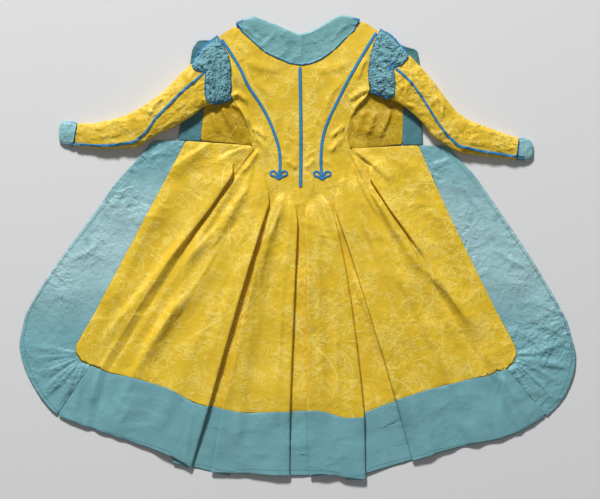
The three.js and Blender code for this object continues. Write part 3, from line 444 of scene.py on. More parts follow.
# Soft folds laid into the cloth, in mm: height, width of the soft side, width of the
# steep side on the right of the line, then the line itself.
FOLDS = [
    # left side of the skirt
    (9, 26, 9, [(-290, 75), (-330, 8), (-373, -52), (-434, -126), (-480, -180), (-530, -244),
                (-566, -290)]),
    (7.5, 20, 6, [(-232, 289), (-258, 282), (-285, 262), (-318, 244), (-345, 222), (-366, 205)]),
    (7, 16, 5, [(-137, 285), (-168, 279), (-190, 264), (-214, 242), (-236, 222)]),
    (5, 9, 4, [(-112, 278), (-124, 246), (-138, 224), (-160, 206)]),
    (8, 22, 8, [(-121, 184), (-173, 121), (-209, 71), (-252, 21), (-287, -15), (-320, -60)]),
    (10, 30, 11, [(-165, 62), (-223, -15), (-273, -97), (-309, -147), (-342, -165),
                  (-400, -250), (-450, -347), (-492, -440)]),
    (6, 22, 15, [(-258, 50), (-300, -40), (-341, -162), (-400, -270), (-450, -347)]),
    (4, 18, 16, [(-200, -120), (-250, -210), (-300, -300), (-340, -390), (-372, -480), (-395, -560)]),
    (4, 14, 12, [(-150, -30), (-190, -130), (-222, -230), (-262, -350)]),
    (3, 30, 24, [(-360, 150), (-430, 40), (-500, -80), (-560, -190)]),
    # narrow slits where the pleats leave the waist
    (-6, 5, 4, [(-108, 284), (-134, 250), (-160, 215), (-188, 180)]),
    (-5, 5, 4, [(-116, 290), (-160, 281), (-220, 254)]),
    (-6, 4, 5, [(142, 268), (170, 212), (200, 150), (238, 82)]),
    (-5, 4, 5, [(150, 272), (190, 240), (250, 196)]),
    # centre back
    (4.5, 9, 5, [(-16, 174), (-23, 50), (-37, -75), (-44, -143), (-48, -250), (-51, -340),
                 (-62, -447), (-66, -600)]),
    (4, 8, 5, [(-33, 135), (-77, 31), (-100, -60), (-109, -136)]),
    (3.5, 12, 10, [(-120, -150), (-138, -260), (-152, -380), (-162, -470), (-168, -600)]),
    (4.5, 10, 5, [(34, 140), (58, 60), (90, 0), (104, -90), (108, -210), (110, -330),
                  (112, -456), (114, -610)]),
    (3.5, 11, 9, [(46, 120), (56, 0), (62, -120), (66, -260), (70, -400), (74, -560)]),
    (3.5, 10, 8, [(110, -40), (126, -140), (142, -270), (152, -400), (160, -540)]),
    # right side of the skirt
    (8, 16, 5, [(151, 272), (190, 244), (235, 208), (270, 176)]),
    (9, 16, 5, [(155, 258), (176, 182), (213, 109), (230, 78)]),
    (10, 28, 12, [(190, 199), (269, 59), (330, -36), (417, -123), (504, -230), (552, -300)]),
    (9, 24, 10, [(146, 210), (185, 70), (244, -62), (305, -210), (352, -330), (390, -440)]),
    (10, 22, 8, [(134, -36), (190, -160), (244, -300), (283, -428), (318, -560)]),
    (6, 20, 12, [(250, -20), (300, -110), (350, -210), (400, -310), (440, -400), (470, -490)]),
    (4, 16, 10, [(200, 20), (240, -110), (290, -240), (330, -360), (360, -500)]),
    (3, 24, 30, [(360, 150), (420, 50), (490, -70), (550, -180)]),
    # bodice
    (6, 8, 5, [(-118, 306), (-100, 290), (-84, 262)]),
    (6, 7, 4, [(-128, 332), (-108, 322), (-84, 298)]),
    (6, 5, 7, [(132, 306), (112, 290), (92, 262)]),
    (6, 5, 6, [(138, 338), (116, 326), (94, 304)]),
    (4, 10, 6, [(-30, 244), (-12, 228), (4, 220)]),
    (4, 10, 6, [(50, 248), (34, 230), (18, 222)]),
    (3, 15, 11, [(-150, 520), (-100, 500), (-40, 492)]),
    (3, 11, 15, [(150, 520), (110, 498), (50, 488)]),
    (2.6, 12, 9, [(-120, 470), (-80, 430), (-60, 380), (-56, 320)]),
    (2.6, 9, 12, [(134, 470), (96, 430), (78, 380), (74, 320)]),
    (8, 8, 5, [(-200, 414), (-182, 420), (-165, 426), (-150, 416), (-136, 396)]),
    (7, 8, 5, [(-196, 392), (-178, 396), (-160, 386), (-144, 362), (-132, 330)]),
    (6, 7, 5, [(-182, 372), (-168, 356), (-158, 330), (-150, 300)]),
    (8, 5, 8, [(216, 440), (198, 436), (180, 432), (160, 418), (140, 410)]),
    (7, 5, 8, [(212, 424), (196, 420), (180, 408), (162, 388), (150, 356)]),
    (6, 5, 7, [(200, 384), (184, 366), (172, 336), (166, 306)]),
    (4, 9, 6, [(-190, 520), (-176, 488), (-168, 452)]),
    (4, 6, 9, [(196, 530), (180, 500), (170, 462)]),
    # fronts under the sleeves
    (8, 9, 5, [(-212, 402), (-203, 372), (-182, 336), (-168, 312)]),
    (7, 9, 5, [(-240, 384), (-230, 345), (-214, 306)]),
    (8, 5, 9, [(262, 388), (254, 354), (236, 316), (226, 296)]),
    (7, 5, 8, [(222, 378), (208, 338), (192, 304)]),
    # collar
    (1.8, 5, 3, [(11, 600), (10, 560), (10, 508)]),
    (2.2, 6, 4, [(44, 584), (60, 562), (78, 544)]),
    (2.4, 5, 7, [(-58, 596), (-84, 572), (-112, 550)]),
    (2.2, 5, 7, [(-150, 620), (-120, 590), (-90, 574)]),
    (2.2, 7, 5, [(140, 624), (112, 596), (92, 570)]),
    (1.8, 7, 5, [(-20, 560), (-40, 540), (-66, 528)]),
    # hem
    (3, 12, 7, [(-361, -420), (-388, -492), (-414, -548)]),
    (3, 10, 6, [(-294, -452), (-302, -520), (-314, -604)]),
    (2.4, 9, 8, [(-440, -400), (-470, -450), (-500, -500)]),
    (3, 7, 11, [(561, -352), (590, -392), (626, -438)]),
    (3, 6, 9, [(516, -388), (530, -450), (548, -516)]),
    (2.6, 6, 9, [(460, -396), (468, -440), (478, -490)]),
    (2.6, 7, 10, [(400, -420), (404, -480), (410, -540)]),
    (2.4, 7, 9, [(-120, -480), (-124, -540), (-128, -620)]),
    (2.4, 7, 9, [(240, -470), (252, -530), (262, -590)]),
    # front borders and the broad border
    (3.4, 12, 7, [(-520, 110), (-490, 150), (-470, 205)]),
    (2.6, 10, 6, [(-640, -40), (-590, -20), (-540, 20)]),
    (3, 12, 7, [(-700, -150), (-650, -130), (-600, -140)]),
    (3, 9, 6, [(-420, 250), (-380, 262), (-345, 258)]),
    (2.6, 9, 8, [(520, 100), (480, 140), (470, 190)]),
    (3, 9, 7, [(640, -60), (590, -30), (550, 0)]),
    (2.8, 9, 8, [(720, -180), (670, -150), (610, -160)]),
    (3, 9, 6, [(430, 246), (400, 236), (375, 226)]),
]

# The same for the sleeves, the cuffs, the caps and the braids of the sleeves.
SLEEVE_FOLDS = [
    (4.6, 6, 4, [(-424, 422), (-418, 392), (-408, 358)]),
    (5, 5, 6, [(-396, 426), (-400, 396), (-406, 364)]),
    (3.6, 7, 5, [(-372, 436), (-384, 410), (-398, 380)]),
    (3, 7, 5, [(-470, 392), (-460, 366), (-440, 348)]),
    (2.8, 6, 5, [(-520, 372), (-506, 350), (-480, 334)]),
    (3, 7, 5, [(-350, 470), (-338, 444), (-322, 420)]),
    (3, 6, 6, [(-318, 500), (-300, 470), (-276, 446)]),
    (2.8, 6, 5, [(-300, 530), (-276, 512), (-250, 500)]),
    (2.4, 5, 5, [(-560, 356), (-545, 336), (-528, 322)]),
    (4.6, 4, 6, [(414, 416), (408, 388), (400, 356)]),
    (4.4, 6, 5, [(388, 424), (392, 396), (398, 366)]),
    (3.6, 5, 7, [(364, 446), (374, 416), (384, 390)]),
    (3, 5, 7, [(470, 386), (458, 362), (442, 344)]),
    (2.8, 5, 6, [(520, 360), (508, 340), (486, 322)]),
    (3.4, 5, 7, [(296, 456), (292, 440), (288, 424)]),
    (3, 6, 6, [(330, 486), (318, 456), (300, 430)]),
    (3, 5, 6, [(286, 540), (268, 516), (250, 500)]),
    (2.4, 5, 5, [(566, 340), (552, 322), (536, 308)]),
]

# Where the cloth of the broad border is gathered round the skirt's corners:
# middle, first and last angle in degrees, inner and outer reach in mm.
CORNER_GATHERS = [
    ((-590, -300), 158, 290, 26, 165),
    ((588, -306), -110, 22, 26, 165),
]

# The point that the skirt's waves fan out from, and the reach at which they have their size.
FAN_CENTRE = (10, 480)
FAN_REACH = 620

# How far smooth cloth stands over its plain shape, in mm.
LOFT, SLEEVE_LOFT = 2.2, 1.5

NOISE_CELLS = 128  # cells a side of the table of random values


def smooth_share(value, low, high):
    """Rises softly from 0 at low to 1 at high."""
    t = np.clip((value - low) / (high - low), 0.0, 1.0)
    return t * t * (3 - 2 * t)


def fold_height(x, y, height, soft, steep, line):
    """Height of one soft fold at each point, tapered towards its ends."""
    out = np.zeros_like(x)
    pts = np.array(line, dtype=float)
    reach = 3 * max(soft, steep)
    near = ((x > pts[:, 0].min() - reach) & (x < pts[:, 0].max() + reach)
            & (y > pts[:, 1].min() - reach) & (y < pts[:, 1].max() + reach))
    if not near.any():
        return out
    px, py = x[near], y[near]
    best = np.full(px.shape, np.inf)
    side = np.zeros_like(best)
    share = np.zeros_like(best)
    lengths = np.hypot(*np.diff(pts, axis=0).T)
    starts = np.concatenate([[0], np.cumsum(lengths)])
    for (ax, ay), (bx, by), size, start in zip(pts[:-1], pts[1:], lengths, starts):
        dx, dy = (bx - ax) / size, (by - ay) / size
        t = np.clip((px - ax) * dx + (py - ay) * dy, 0, size)
        qx, qy = px - ax - t * dx, py - ay - t * dy
        d = np.hypot(qx, qy)
        closer = d < best
        best = np.where(closer, d, best)
        side = np.where(closer, dx * qy - dy * qx, side)
        share = np.where(closer, (start + t) / starts[-1], share)
    width = np.where(side < 0, steep, soft)
    ends = smooth_share(share, -0.02, 0.22) * smooth_share(1 - share, -0.02, 0.3)
    out[near] = height * np.exp(-(best / width) ** 2) * ends
    return out


def blotches(x, y, size, seed):
    """Smooth random values between 0 and 1 that change about once every size mm."""
    gx, gy = x / size, y / size
    ix, iy = np.floor(gx).astype(int), np.floor(gy).astype(int)
    fx, fy = smooth_share(gx - ix, 0, 1), smooth_share(gy - iy, 0, 1)
    table = np.random.default_rng(seed).random((NOISE_CELLS, NOISE_CELLS))

    def corner(dx, dy):
        return table[(ix + dx) % NOISE_CELLS, (iy + dy) % NOISE_CELLS]

    low = corner(0, 0) * (1 - fx) + corner(1, 0) * fx
    high = corner(0, 1) * (1 - fx) + corner(1, 1) * fx
    return low * (1 - fy) + high * fy


# The gathers are two sets of waves: how many to the radian, and their height in mm.
MANY_GATHERS, MANY_HEIGHT = 13, 2.6
FEW_GATHERS, FEW_HEIGHT = 7.3, 1.8


def gather_height(x, y):
    """Radiating gathers at the two rounded corners of the border, with sharp valleys."""
    out = np.zeros_like(x)
    for (cx, cy), first, last, inner, outer in CORNER_GATHERS:
        dx, dy = x - cx, y - cy
        reach = np.hypot(dx, dy)
        middle = math.radians((first + last) / 2)
        half = math.radians((last - first) / 2)
        turn = np.arctan2(dy, dx) - middle
        turn = np.arctan2(np.sin(turn), np.cos(turn))
        inside = smooth_share(half - np.abs(turn), -0.05, 0.2)
        length = outer * (0.75 + 0.5 * blotches(turn * 60, turn * 0, size=9, seed=31))
        band = smooth_share(reach, inner, inner + 12) * smooth_share(length - reach, 0, 60)
        bend = 0.05 * (blotches(x, y, size=45, seed=33) - 0.5)
        many = np.abs(np.sin((turn + bend) * MANY_GATHERS + 0.9 * np.sin(turn * 5))) ** 0.45
        few = np.abs(np.sin((turn + bend) * FEW_GATHERS + 1.1)) ** 0.5
        out += inside * band * (MANY_HEIGHT * many + FEW_HEIGHT * few)
    return out


def creases(x, y, size, seed, sharp=2.4):
    """Thin winding ridges, as in cloth that has been crushed and smoothed again."""
    wx = x + size * 1.2 * (blotches(x, y, size * 1.5, seed + 1) - 0.5)
    wy = y + size * 1.2 * (blotches(x, y, size * 1.5, seed + 2) - 0.5)
    off = np.abs(2 * blotches(wx, wy, size, seed) - 1)
    return np.clip(1 - off * sharp, 0, 1)


def drape(x, y):
    """Long soft waves that fan out from the bodice towards the hem."""
    dx, dy = x - FAN_CENTRE[0], FAN_CENTRE[1] - y
    reach = np.hypot(dx, dy)
    turn = np.arctan2(dx, dy) * FAN_REACH
    on_skirt = smooth_share(dy, 90, 330)
    at_hem = smooth_share(dy, 800, 1000)
    broad = blotches(turn, reach, size=74, seed=21) - 0.5
    narrow = blotches(turn + 31, reach / 1.6, size=31, seed=23) - 0.5
    fluted = blotches(turn * 1.7, reach / 3, size=31, seed=25) - 0.5
    return on_skirt * (5.0 * broad + 2.4 * narrow) + at_hem * 4.5 * fluted


def lay_height(x, y):
    """How far the laid cloth rises over its plain shape, in mm, by place."""
    out = sum(fold_height(x, y, *fold) for fold in FOLDS)
    out += gather_height(x, y)
    out += LOFT + drape(x, y)
    out += 1.9 * blotches(x, y, size=52, seed=5) + 0.8 * blotches(x, y, size=24, seed=6)
    patchy = smooth_share(blotches(x, y, size=80, seed=8), 0.4, 0.7)
    out += patchy * (1.3 * creases(x, y, size=48, seed=7) + 0.6 * creases(x, y, size=24, seed=9))
    return np.clip(out, 0, None)


# Edges of the deep pleats, which stand above the cloth under them: height in mm,
# width of the soft slope, then the edge's line from the waist to the hem.
PLEAT_EDGES = [
    (9, 30, [(-57, 160), (-78, 90), (-130, -42), (-190, -240), (-246, -445), (-296, -617)]),
    (5, 22, [(-48, 160), (-72, 60), (-111, -42), (-164, -250), (-210, -452), (-241, -629)]),
    (6, 24, [(5, 140), (0, 20), (-7, -120), (-12, -290), (-20, -461), (-21, -638)]),
    (6, 24, [(14, 140), (22, 20), (27, -120), (28, -290), (27, -458), (36, -639)]),
    (7, 26, [(74, 160), (102, 50), (136, -64), (168, -260), (188, -475), (191, -649)]),
    (6, 24, [(82, 160), (116, 60), (164, -62), (224, -240), (275, -427), (323, -597)]),
    (8, 30, [(-124, 268), (-205, 160), (-300, 20), (-350, -50)]),
    (7, 26, [(150, 262), (225, 150), (315, 15), (360, -50)]),
]
TOP_LAYER = (3.0, 9.5)  # heights in mm between which cloth starts to count as a top layer


def pleat_height(x, y, z):
    """Lifts the top layer of each deep pleat along its edge; z is the height in mm."""
    lift = sum(fold_height(x, y, height, soft, soft, line) for height, soft, line in PLEAT_EDGES)
    return lift * smooth_share(z, *TOP_LAYER)


# The share of a run's edges that are no longer than the one its cuts go by.
RUN_SHARE = 0.8
SMOOTHING_ROUNDS = 2


def cut_runs(bm, step):
    """Cuts the long runs of a grid of four-sided faces into even lengths. A run is all
    the edges that face each other across the faces of a strip."""
    leader = {e: e for e in bm.edges}

    def find(e):
        while leader[e] is not e:
            leader[e] = leader[leader[e]]
            e = leader[e]
        return e

    for face in bm.faces:
        if len(face.edges) == 4:
            a, b, c, d = (loop.edge for loop in face.loops)
            leader[find(a)] = find(c)
            leader[find(b)] = find(d)
    runs = {}
    for e in bm.edges:
        runs.setdefault(find(e), []).append(e)
    plans = []
    for edges in runs.values():
        length = sorted(e.calc_length() for e in edges)[int(len(edges) * RUN_SHARE)]
        cuts = int(length / step)
        if cuts:
            plans.append((cuts, edges))
    for cuts, edges in plans:
        whole = [e for e in edges if e.is_valid]
        bmesh.ops.subdivide_edges(bm, edges=whole, cuts=cuts, use_grid_fill=True)


def new_piece(name, bm):
    """An object in the scene made from bm, which is then freed."""
    mesh = bpy.data.meshes.new(name)
    bm.to_mesh(mesh)
    bm.free()
    piece = bpy.data.objects.new(name, mesh)
    bpy.context.scene.collection.objects.link(piece)
    return piece


def laid_shell(node, name, step):
    """A smooth, finely divided thin shell on the form of one solid."""
    bm = bmesh.new()
    bm.from_mesh(bpy.data.objects[node].data)
    bmesh.ops.remove_doubles(bm, verts=bm.verts, dist=1e-6)
    bmesh.ops.join_triangles(bm, faces=bm.faces, angle_face_threshold=math.pi,
                             angle_shape_threshold=math.pi, topology_influence=2.0)
    cut_runs(bm, step)
    for face in bm.faces:
        face.smooth = True
    piece = new_piece(name, bm)
    smoother = piece.modifiers.new("round", "SUBSURF")
    smoother.levels = smoother.render_levels = SMOOTHING_ROUNDS
    depsgraph = bpy.context.evaluated_depsgraph_get()
    rounded = bpy.data.meshes.new_from_object(piece.evaluated_get(depsgraph))
    piece.modifiers.clear()
    rounded.name = name
    plain, piece.data = piece.data, rounded
    bpy.data.meshes.remove(plain)
    return piece


def read_vertices(piece, field):
    """The places or the normals of a piece's points, in three columns."""
    flat = np.empty(len(piece.data.vertices) * 3, dtype=np.float32)
    piece.data.vertices.foreach_get(field, flat)
    return flat.reshape(-1, 3).astype(float)


def read_points(piece):
    return read_vertices(piece, "co")


def read_both(piece):
    return read_vertices(piece, "co"), read_vertices(piece, "normal")


def write_points(piece, points):
    piece.data.vertices.foreach_set("co", points.astype(np.float32).ravel())
    piece.data.update()


def garment_xy(points):
    """The x and y of points in the garment's tables."""
    return points[:, 0] / MM + MIDDLE[0], points[:, 1] / MM + MIDDLE[1]


# Upward share of a normal: where an edge turns into the flat of a piece, and the most
# that counts as an edge.
EDGE_FADE = (0.35, 0.75)
EDGE_MOST = 0.45
# The middle of the lapping corners, left and right alike, and where the lap fades.
LAP_CENTRE = (590, -318)
LAP_FADE = (60, 150)


def close_seams(piece, reach, lap=0.0):
    """Brings the edges of a piece out to meet its neighbours along the seams. At the
    rounded corners a lapping piece reaches farther, and lies on top."""
    points, normals = read_both(piece)
    edge = 1 - smooth_share(np.abs(normals[:, 2]), *EDGE_FADE)
    flat = normals[:, :2] / np.maximum(np.hypot(normals[:, 0], normals[:, 1]), 1e-6)[:, None]
    x, y = garment_xy(points)
    corner = 1 - smooth_share(np.hypot(np.abs(x) - LAP_CENTRE[0], y - LAP_CENTRE[1]), *LAP_FADE)
    points[:, :2] += flat * (edge * (reach + lap * corner) * MM)[:, None]
    points[:, 2] += 0.25 * lap * corner * MM
    write_points(piece, points)


def mark_rim(piece, wanted):
    """Stores each point's distance to the wanted edges of a piece, in mm, and returns it."""
    points, normals = read_both(piece)
    x, y = garment_xy(points)
    rim = (np.abs(normals[:, 2]) < EDGE_MOST) & wanted(x, y)
    tree = KDTree(int(rim.sum()))
    for index, point in enumerate(points[rim]):
        tree.insert(point, index)
    tree.balance()
    distance = np.array([tree.find(point)[2] for point in points]) / MM
    layer = piece.data.attributes.new("rim", "FLOAT", "POINT")
    layer.data.foreach_set("value", distance.astype(np.float32))
    return distance


def settle(piece, standing=False):
    """Lays the folds into a piece. A standing piece keeps its foot on the floor."""
    points = read_points(piece)
    x, y = garment_xy(points)
    z = points[:, 2] / MM
    if standing:
        lift = (SLEEVE_LOFT + 2.8 * creases(x, y, size=30, seed=41, sharp=1.8)
                + 2.2 * creases(x, y, size=15, seed=43, sharp=2.0))
        lift += sum(fold_height(x, y, *fold) for fold in SLEEVE_FOLDS)
        lift *= smooth_share(z, 2, 20)
    else:
        lift = lay_height(x, y) + pleat_height(x, y, z)
    points[:, 2] = np.maximum(points[:, 2] + lift * MM, 0.0)
    write_points(piece, points)


# Height of the round edging in mm on the caps, the collar and the cuffs.
CAP_ROLL, COLLAR_ROLL, CUFF_ROLL = 1.6, 1.3, 0.6
FACES_UP = 0.1  # least upward share of a normal on the upper side


def edging_section(distance):
    """The round section of the edging, from 0 to 1, by the distance from the rim in mm."""
    half = BRAID_WIDE / 2
    return np.sqrt(np.clip(1 - ((distance - half) / half) ** 2, 0, 1))


def ruche(piece, distance):
    """Crinkles a cap all over with small tight puffs, and rounds its edging."""
    points, normals = read_both(piece)
    x, y = garment_xy(points)
    puffs = (2.8 * creases(x, y, size=7.5, seed=51, sharp=2.1)
             + 2.8 * creases(x, y, size=5.0, seed=53, sharp=2.1))
    inside = smooth_share(distance, BRAID_WIDE, BRAID_WIDE + 3)
    raise_by = (puffs + 0.6) * inside + CAP_ROLL * edging_section(distance)
    points += normals * (raise_by * (normals[:, 2] > FACES_UP) * MM)[:, None]
    write_points(piece, points)


def roll_edge(piece, distance, height):
    """Raises a narrow round edging along the rim that mark_rim measured from."""
    points, normals = read_both(piece)
    points[:, 2] += height * edging_section(distance) * (normals[:, 2] > FACES_UP) * MM
    write_points(piece, points)


def chart(piece, turn=0.0, shift=(0, 0)):
    """Gives the cloth its own flat map, turned to the grain of its cut."""
    mesh = piece.data
    layer = mesh.uv_layers.new(name="cloth")
    points = read_points(piece)
    c, s = math.cos(turn), math.sin(turn)
    u = points[:, 0] * c + points[:, 1] * s + shift[0]
    v = -points[:, 0] * s + points[:, 1] * c + shift[1]
    index = np.empty(len(mesh.loops), dtype=np.int32)
    mesh.loops.foreach_get("vertex_index", index)
    layer.data.foreach_set("uv", np.column_stack([u[index], v[index]]).astype(np.float32).ravel())
    mesh.uv_layers.active = layer


def dress(piece, material):
    """Gives a piece its cloth and its place on the one body."""
    piece.data.materials.clear()
    piece.data.materials.append(material)
    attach(piece, "root")


# The collar's outer edge, the middle between its ends, and how far off they begin.
COLLAR_EDGE = [(-156, 604), (-131, 580), (-104, 556), (-78, 538), (-50, 525), (-22, 513), (7, 508),
               (38, 513), (66, 524), (92, 542), (114, 560), (134, 582), (162, 606)]
COLLAR_MIDDLE, COLLAR_ENDS = 3, 157
WRIST_SEAM = 634  # farthest x of the seam between sleeve and cuff
# The border's seam with the skirt as y and x, the level where the corner begins, its
# middle, and a reach between its seam and its outer edge.
BORDER_SEAM = [(-300, 612), (30, 450), (300, 320)]
CORNER_LEVEL = -300
CORNER_CENTRE = (604, -298)
CORNER_REACH = 110


def everywhere(x, y):
    return np.ones_like(x, dtype=bool)


def collar_fall(x, y):
    """The collar's outer edge and its two ends, but not the edge hidden at the neck."""
    edge = np.interp(x, *np.transpose(COLLAR_EDGE))
    return (y < edge + 7) | (np.abs(x - COLLAR_MIDDLE) > COLLAR_ENDS)


def wrist_seam(x, y):
    """The edge of a cuff that is sewn to its sleeve."""
    return np.abs(x) < WRIST_SEAM


def opening_edge(x, y):
    """The outer edge of the border, well away from its seam with the skirt."""
    seam = np.interp(y, *np.transpose(BORDER_SEAM))
    from_corner = np.hypot(np.abs(x) - CORNER_CENTRE[0], y - CORNER_CENTRE[1])
    return np.where(y > CORNER_LEVEL, np.abs(x) > seam + 50, from_corner > CORNER_REACH)


# The pieces that lap over the border at its rounded corners.
CORNERED = ["skirt_left", "skirt_right", "side_back_left", "side_back_right"]
CORNER_LAP = 2.4
# How finely each kind of piece is divided, in metres.
LAID_STEP, COLLAR_STEP, SLEEVE_STEP, CAP_STEP, BRAID_STEP = 0.017, 0.008, 0.014, 0.006, 0.012
# How far the edges of each kind of piece are brought out to their neighbours, in mm.
LAID_SEAM, SLEEVE_SEAM, CAP_SEAM, BRAID_SEAM = 1.1, 0.6, 1.4, 0.9

# Each laid piece: node, cloth, grain turn in degrees, grain shift, cut width, cut length
# and cut area in metres.
LAID = [
    ("back_left", YELLOW_SILK, -6, (0, 0), 0.44, 1.10, 0.241),
    ("back_right", YELLOW_SILK, 7, (0.11, 0.05), 0.40, 1.12, 0.211),
    ("side_back_left", YELLOW_SILK, -24, (0.0, 0.1), 0.36, 1.06, 0.179),
    ("side_back_right", YELLOW_SILK, 25, (0.05, 0.2), 0.34, 1.06, 0.168),
    ("skirt_left", YELLOW_SILK, -32, (0.09, 0.0), 0.24, 0.70, 0.103),
    ("skirt_right", YELLOW_SILK, 33, (0.16, 0.12), 0.24, 0.70, 0.096),
    ("front_left", FRONT_SILK_PAINTED_SHADE, 4, (0.02, 0.3), 0.15, 0.32, 0.024),
    ("front_right", FRONT_SILK_PAINTED_SHADE, -4, (0.2, 0.02), 0.16, 0.34, 0.031),
    ("front_band_left", FRONT_BLUE_PAINTED_SHADE, 6, (0, 0), 0.07, 0.31, 0.014),
    ("front_band_right", FRONT_BLUE_PAINTED_SHADE, -6, (0, 0), 0.07, 0.33, 0.0146),
    ("skirt_band_left", BORDER_SILK, -33, (0, 0), 0.19, 0.98, 0.113),
    ("skirt_band_right", BORDER_SILK, 33, (0, 0), 0.19, 0.96, 0.111),
    ("hem_band_left", HEM_SILK, -16, (0, 0), 0.19, 1.05, 0.166),
    ("hem_band_right", HEM_SILK, 18, (0, 0), 0.19, 0.95, 0.150),
    ("collar", COLLAR_SILK, 0, (0, 0), 0.15, 0.40, 0.034),
]
SLEEVES = [
    ("sleeve_top_left", SLEEVE_SILK, 40, (0.1, 0.2), 0.17, 0.52, 0.056),
    ("sleeve_under_left", SLEEVE_SILK, 40, (0.3, 0.1), 0.15, 0.50, 0.048),
    ("sleeve_top_right", SLEEVE_SILK, -44, (0.15, 0.05), 0.18, 0.52, 0.060),
    ("sleeve_under_right", SLEEVE_SILK, -44, (0.05, 0.3), 0.14, 0.50, 0.046),
    ("cuff_left", CUFF_SILK, 5, (0, 0), 0.055, 0.13, 0.006),
    ("cuff_right", CUFF_SILK, -10, (0, 0), 0.045, 0.13, 0.0048),
]
# Node, cut width, cut length and cut area in metres.
CAPS = [("cap_left", 0.13, 0.20, 0.0148), ("cap_right", 0.13, 0.20, 0.0148)]
BRAIDS = ["back_braid", "curved_braid_left", "curved_braid_right",
          "sleeve_braid_left", "sleeve_braid_right"]

shells = {}


def finish_piece(node, shell, material):
    """Puts one shell, in its cloth, in place of its solid."""
    dress(shell, material)
    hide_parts(node)
    shells[node] = shell


for node, material, turn, shift, *cut in LAID:
    shell = laid_shell(node, node + "_silk", COLLAR_STEP if material is COLLAR_SILK else LAID_STEP)
    close_seams(shell, LAID_SEAM, lap=CORNER_LAP if node in CORNERED else 0.0)
    chart(shell, math.radians(turn), shift)
    settle(shell)
    if material is COLLAR_SILK:
        roll_edge(shell, mark_rim(shell, collar_fall), COLLAR_ROLL)
    if material is BORDER_SILK:
        mark_rim(shell, opening_edge)
    finish_piece(node, shell, material)

for node, material, turn, shift, *cut in SLEEVES:
    shell = laid_shell(node, node + "_silk", SLEEVE_STEP)
    close_seams(shell, SLEEVE_SEAM)
    chart(shell, math.radians(turn), shift)
    settle(shell, standing=True)
    if material is CUFF_SILK:
        roll_edge(shell, mark_rim(shell, wrist_seam), CUFF_ROLL)
    finish_piece(node, shell, material)

for node, *cut in CAPS:
    shell = laid_shell(node, node + "_silk", CAP_STEP)
    close_seams(shell, CAP_SEAM)
    chart(shell)
    settle(shell, standing=True)
    ruche(shell, mark_rim(shell, everywhere))
    finish_piece(node, shell, CRINKLED_SILK)

for node in BRAIDS:
    shell = laid_shell(node, node + "_woven", BRAID_STEP)
    close_seams(shell, BRAID_SEAM)
    chart(shell)
    settle(shell, standing=node.startswith("sleeve"))
    finish_piece(node, shell, BRAID_SILK)


# ---------------------------------------------------------------- stitching

def thread(name, colour, dark):
    """Twisted sewing silk, slightly uneven in colour."""
    material, w, shader = new_material(name)
    objects = w.add("ShaderNodeTexCoord").outputs["Object"]
    twist = w.noise(objects, 900.0, 2.0)
    w.join(w.mix(w.ramp(twist, 0.35, 0.65), colour, dark), shader.inputs["Base Color"])
    preset(shader, Roughness=0.5)
    ply = w.add("ShaderNodeBump")
    preset(ply, Distance=0.0002)
    w.join(twist, ply.inputs["Height"])
    w.join(ply.outputs[0], shader.inputs["Normal"])
    return material


def cloth_tree(nodes):
    """The faces of the named shells as one tree, for resting stitches on them."""
    places, faces = [], []
    for node in nodes:
        mesh = shells[node].data
        first = len(places)
        places += [vertex.co.copy() for vertex in mesh.vertices]
        faces += [[first + corner for corner in face.vertices] for face in mesh.polygons]
    return BVHTree.FromPolygons(places, faces)


LOOK_AHEAD = 2  # mm along the line from which a stitch takes its direction
ABOVE = 100  # mm over the floor, higher than all the cloth
STITCH_FLATNESS = 0.7


def sew(bm, tree, line, pitch, length, width, across=False):
    """Lays a row of short round stitches along a line, on top of the cloth."""
    points = np.array(line, dtype=float)
    starts = np.concatenate([[0], np.cumsum(np.hypot(*np.diff(points, axis=0).T))])

    def spot_at(distance):
        return np.array([np.interp(distance, starts, points[:, axis]) for axis in (0, 1)])

    for count in range(int(starts[-1] / pitch)):
        at = (count + 0.5) * pitch
        x, y = spot_at(at)
        along = Vector((*(spot_at(at + LOOK_AHEAD) - (x, y)), 0)).normalized()
        if across:
            along = Vector((-along.y, along.x, 0))
        spot, normal = tree.ray_cast(place(x, y, ABOVE), Vector((0, 0, -1)))[:2]
        if spot is None or along.length < 0.5:
            continue
        side = normal.cross(along).normalized()
        along = side.cross(normal)
        turn = Matrix((along, side, normal)).transposed().to_4x4()
        size = Matrix.Diagonal((length * MM, width * MM, STITCH_FLATNESS * width * MM, 1))
        matrix = Matrix.Translation(spot) @ turn @ size
        bmesh.ops.create_icosphere(bm, subdivisions=1, radius=0.5, matrix=matrix)


def stitching(name, material, rows, nodes):
    """One piece of sewing, made of rows of stitches on the named shells."""
    bm = bmesh.new()
    tree = cloth_tree(nodes)
    for row in rows:
        sew(bm, tree, *row)
    for face in bm.faces:
        face.smooth = True
    dress(new_piece(name, bm), material)


BORDERS = ["skirt_band_left", "hem_band_left", "hem_band_right", "skirt_band_right"]
# The hem's row of stitches: centre, first and last turn in degrees, half the window that
# is searched for the border's edge, distance from that edge, and least reach.
HEM_CENTRE = (0, -120)
HEM_TURNS = (132, 408)
HEM_WINDOW = 1.2
HEM_INSET = 15.0
HEM_LEAST = 300


def hem_line():
    """The line of the hem's stitches, a little inside the outer edge of the border."""
    points = np.vstack([read_points(shells[node]) for node in BORDERS])
    x, y = garment_xy(points)
    dx, dy = x - HEM_CENTRE[0], y - HEM_CENTRE[1]
    turn = np.degrees(np.arctan2(dy, dx)) % 360
    turn = np.where(turn < 90, turn + 360, turn)
    reach = np.hypot(dx, dy)
    steps = np.arange(*HEM_TURNS)
    edge = np.array([reach[np.abs(turn - step) < HEM_WINDOW].max(initial=0.0) for step in steps])
    far = edge - HEM_INSET
    angle, far = np.radians(steps[far > HEM_LEAST]), far[far > HEM_LEAST]
    return np.column_stack([HEM_CENTRE[0] + far * np.cos(angle), HEM_CENTRE[1] + far * np.sin(angle)])


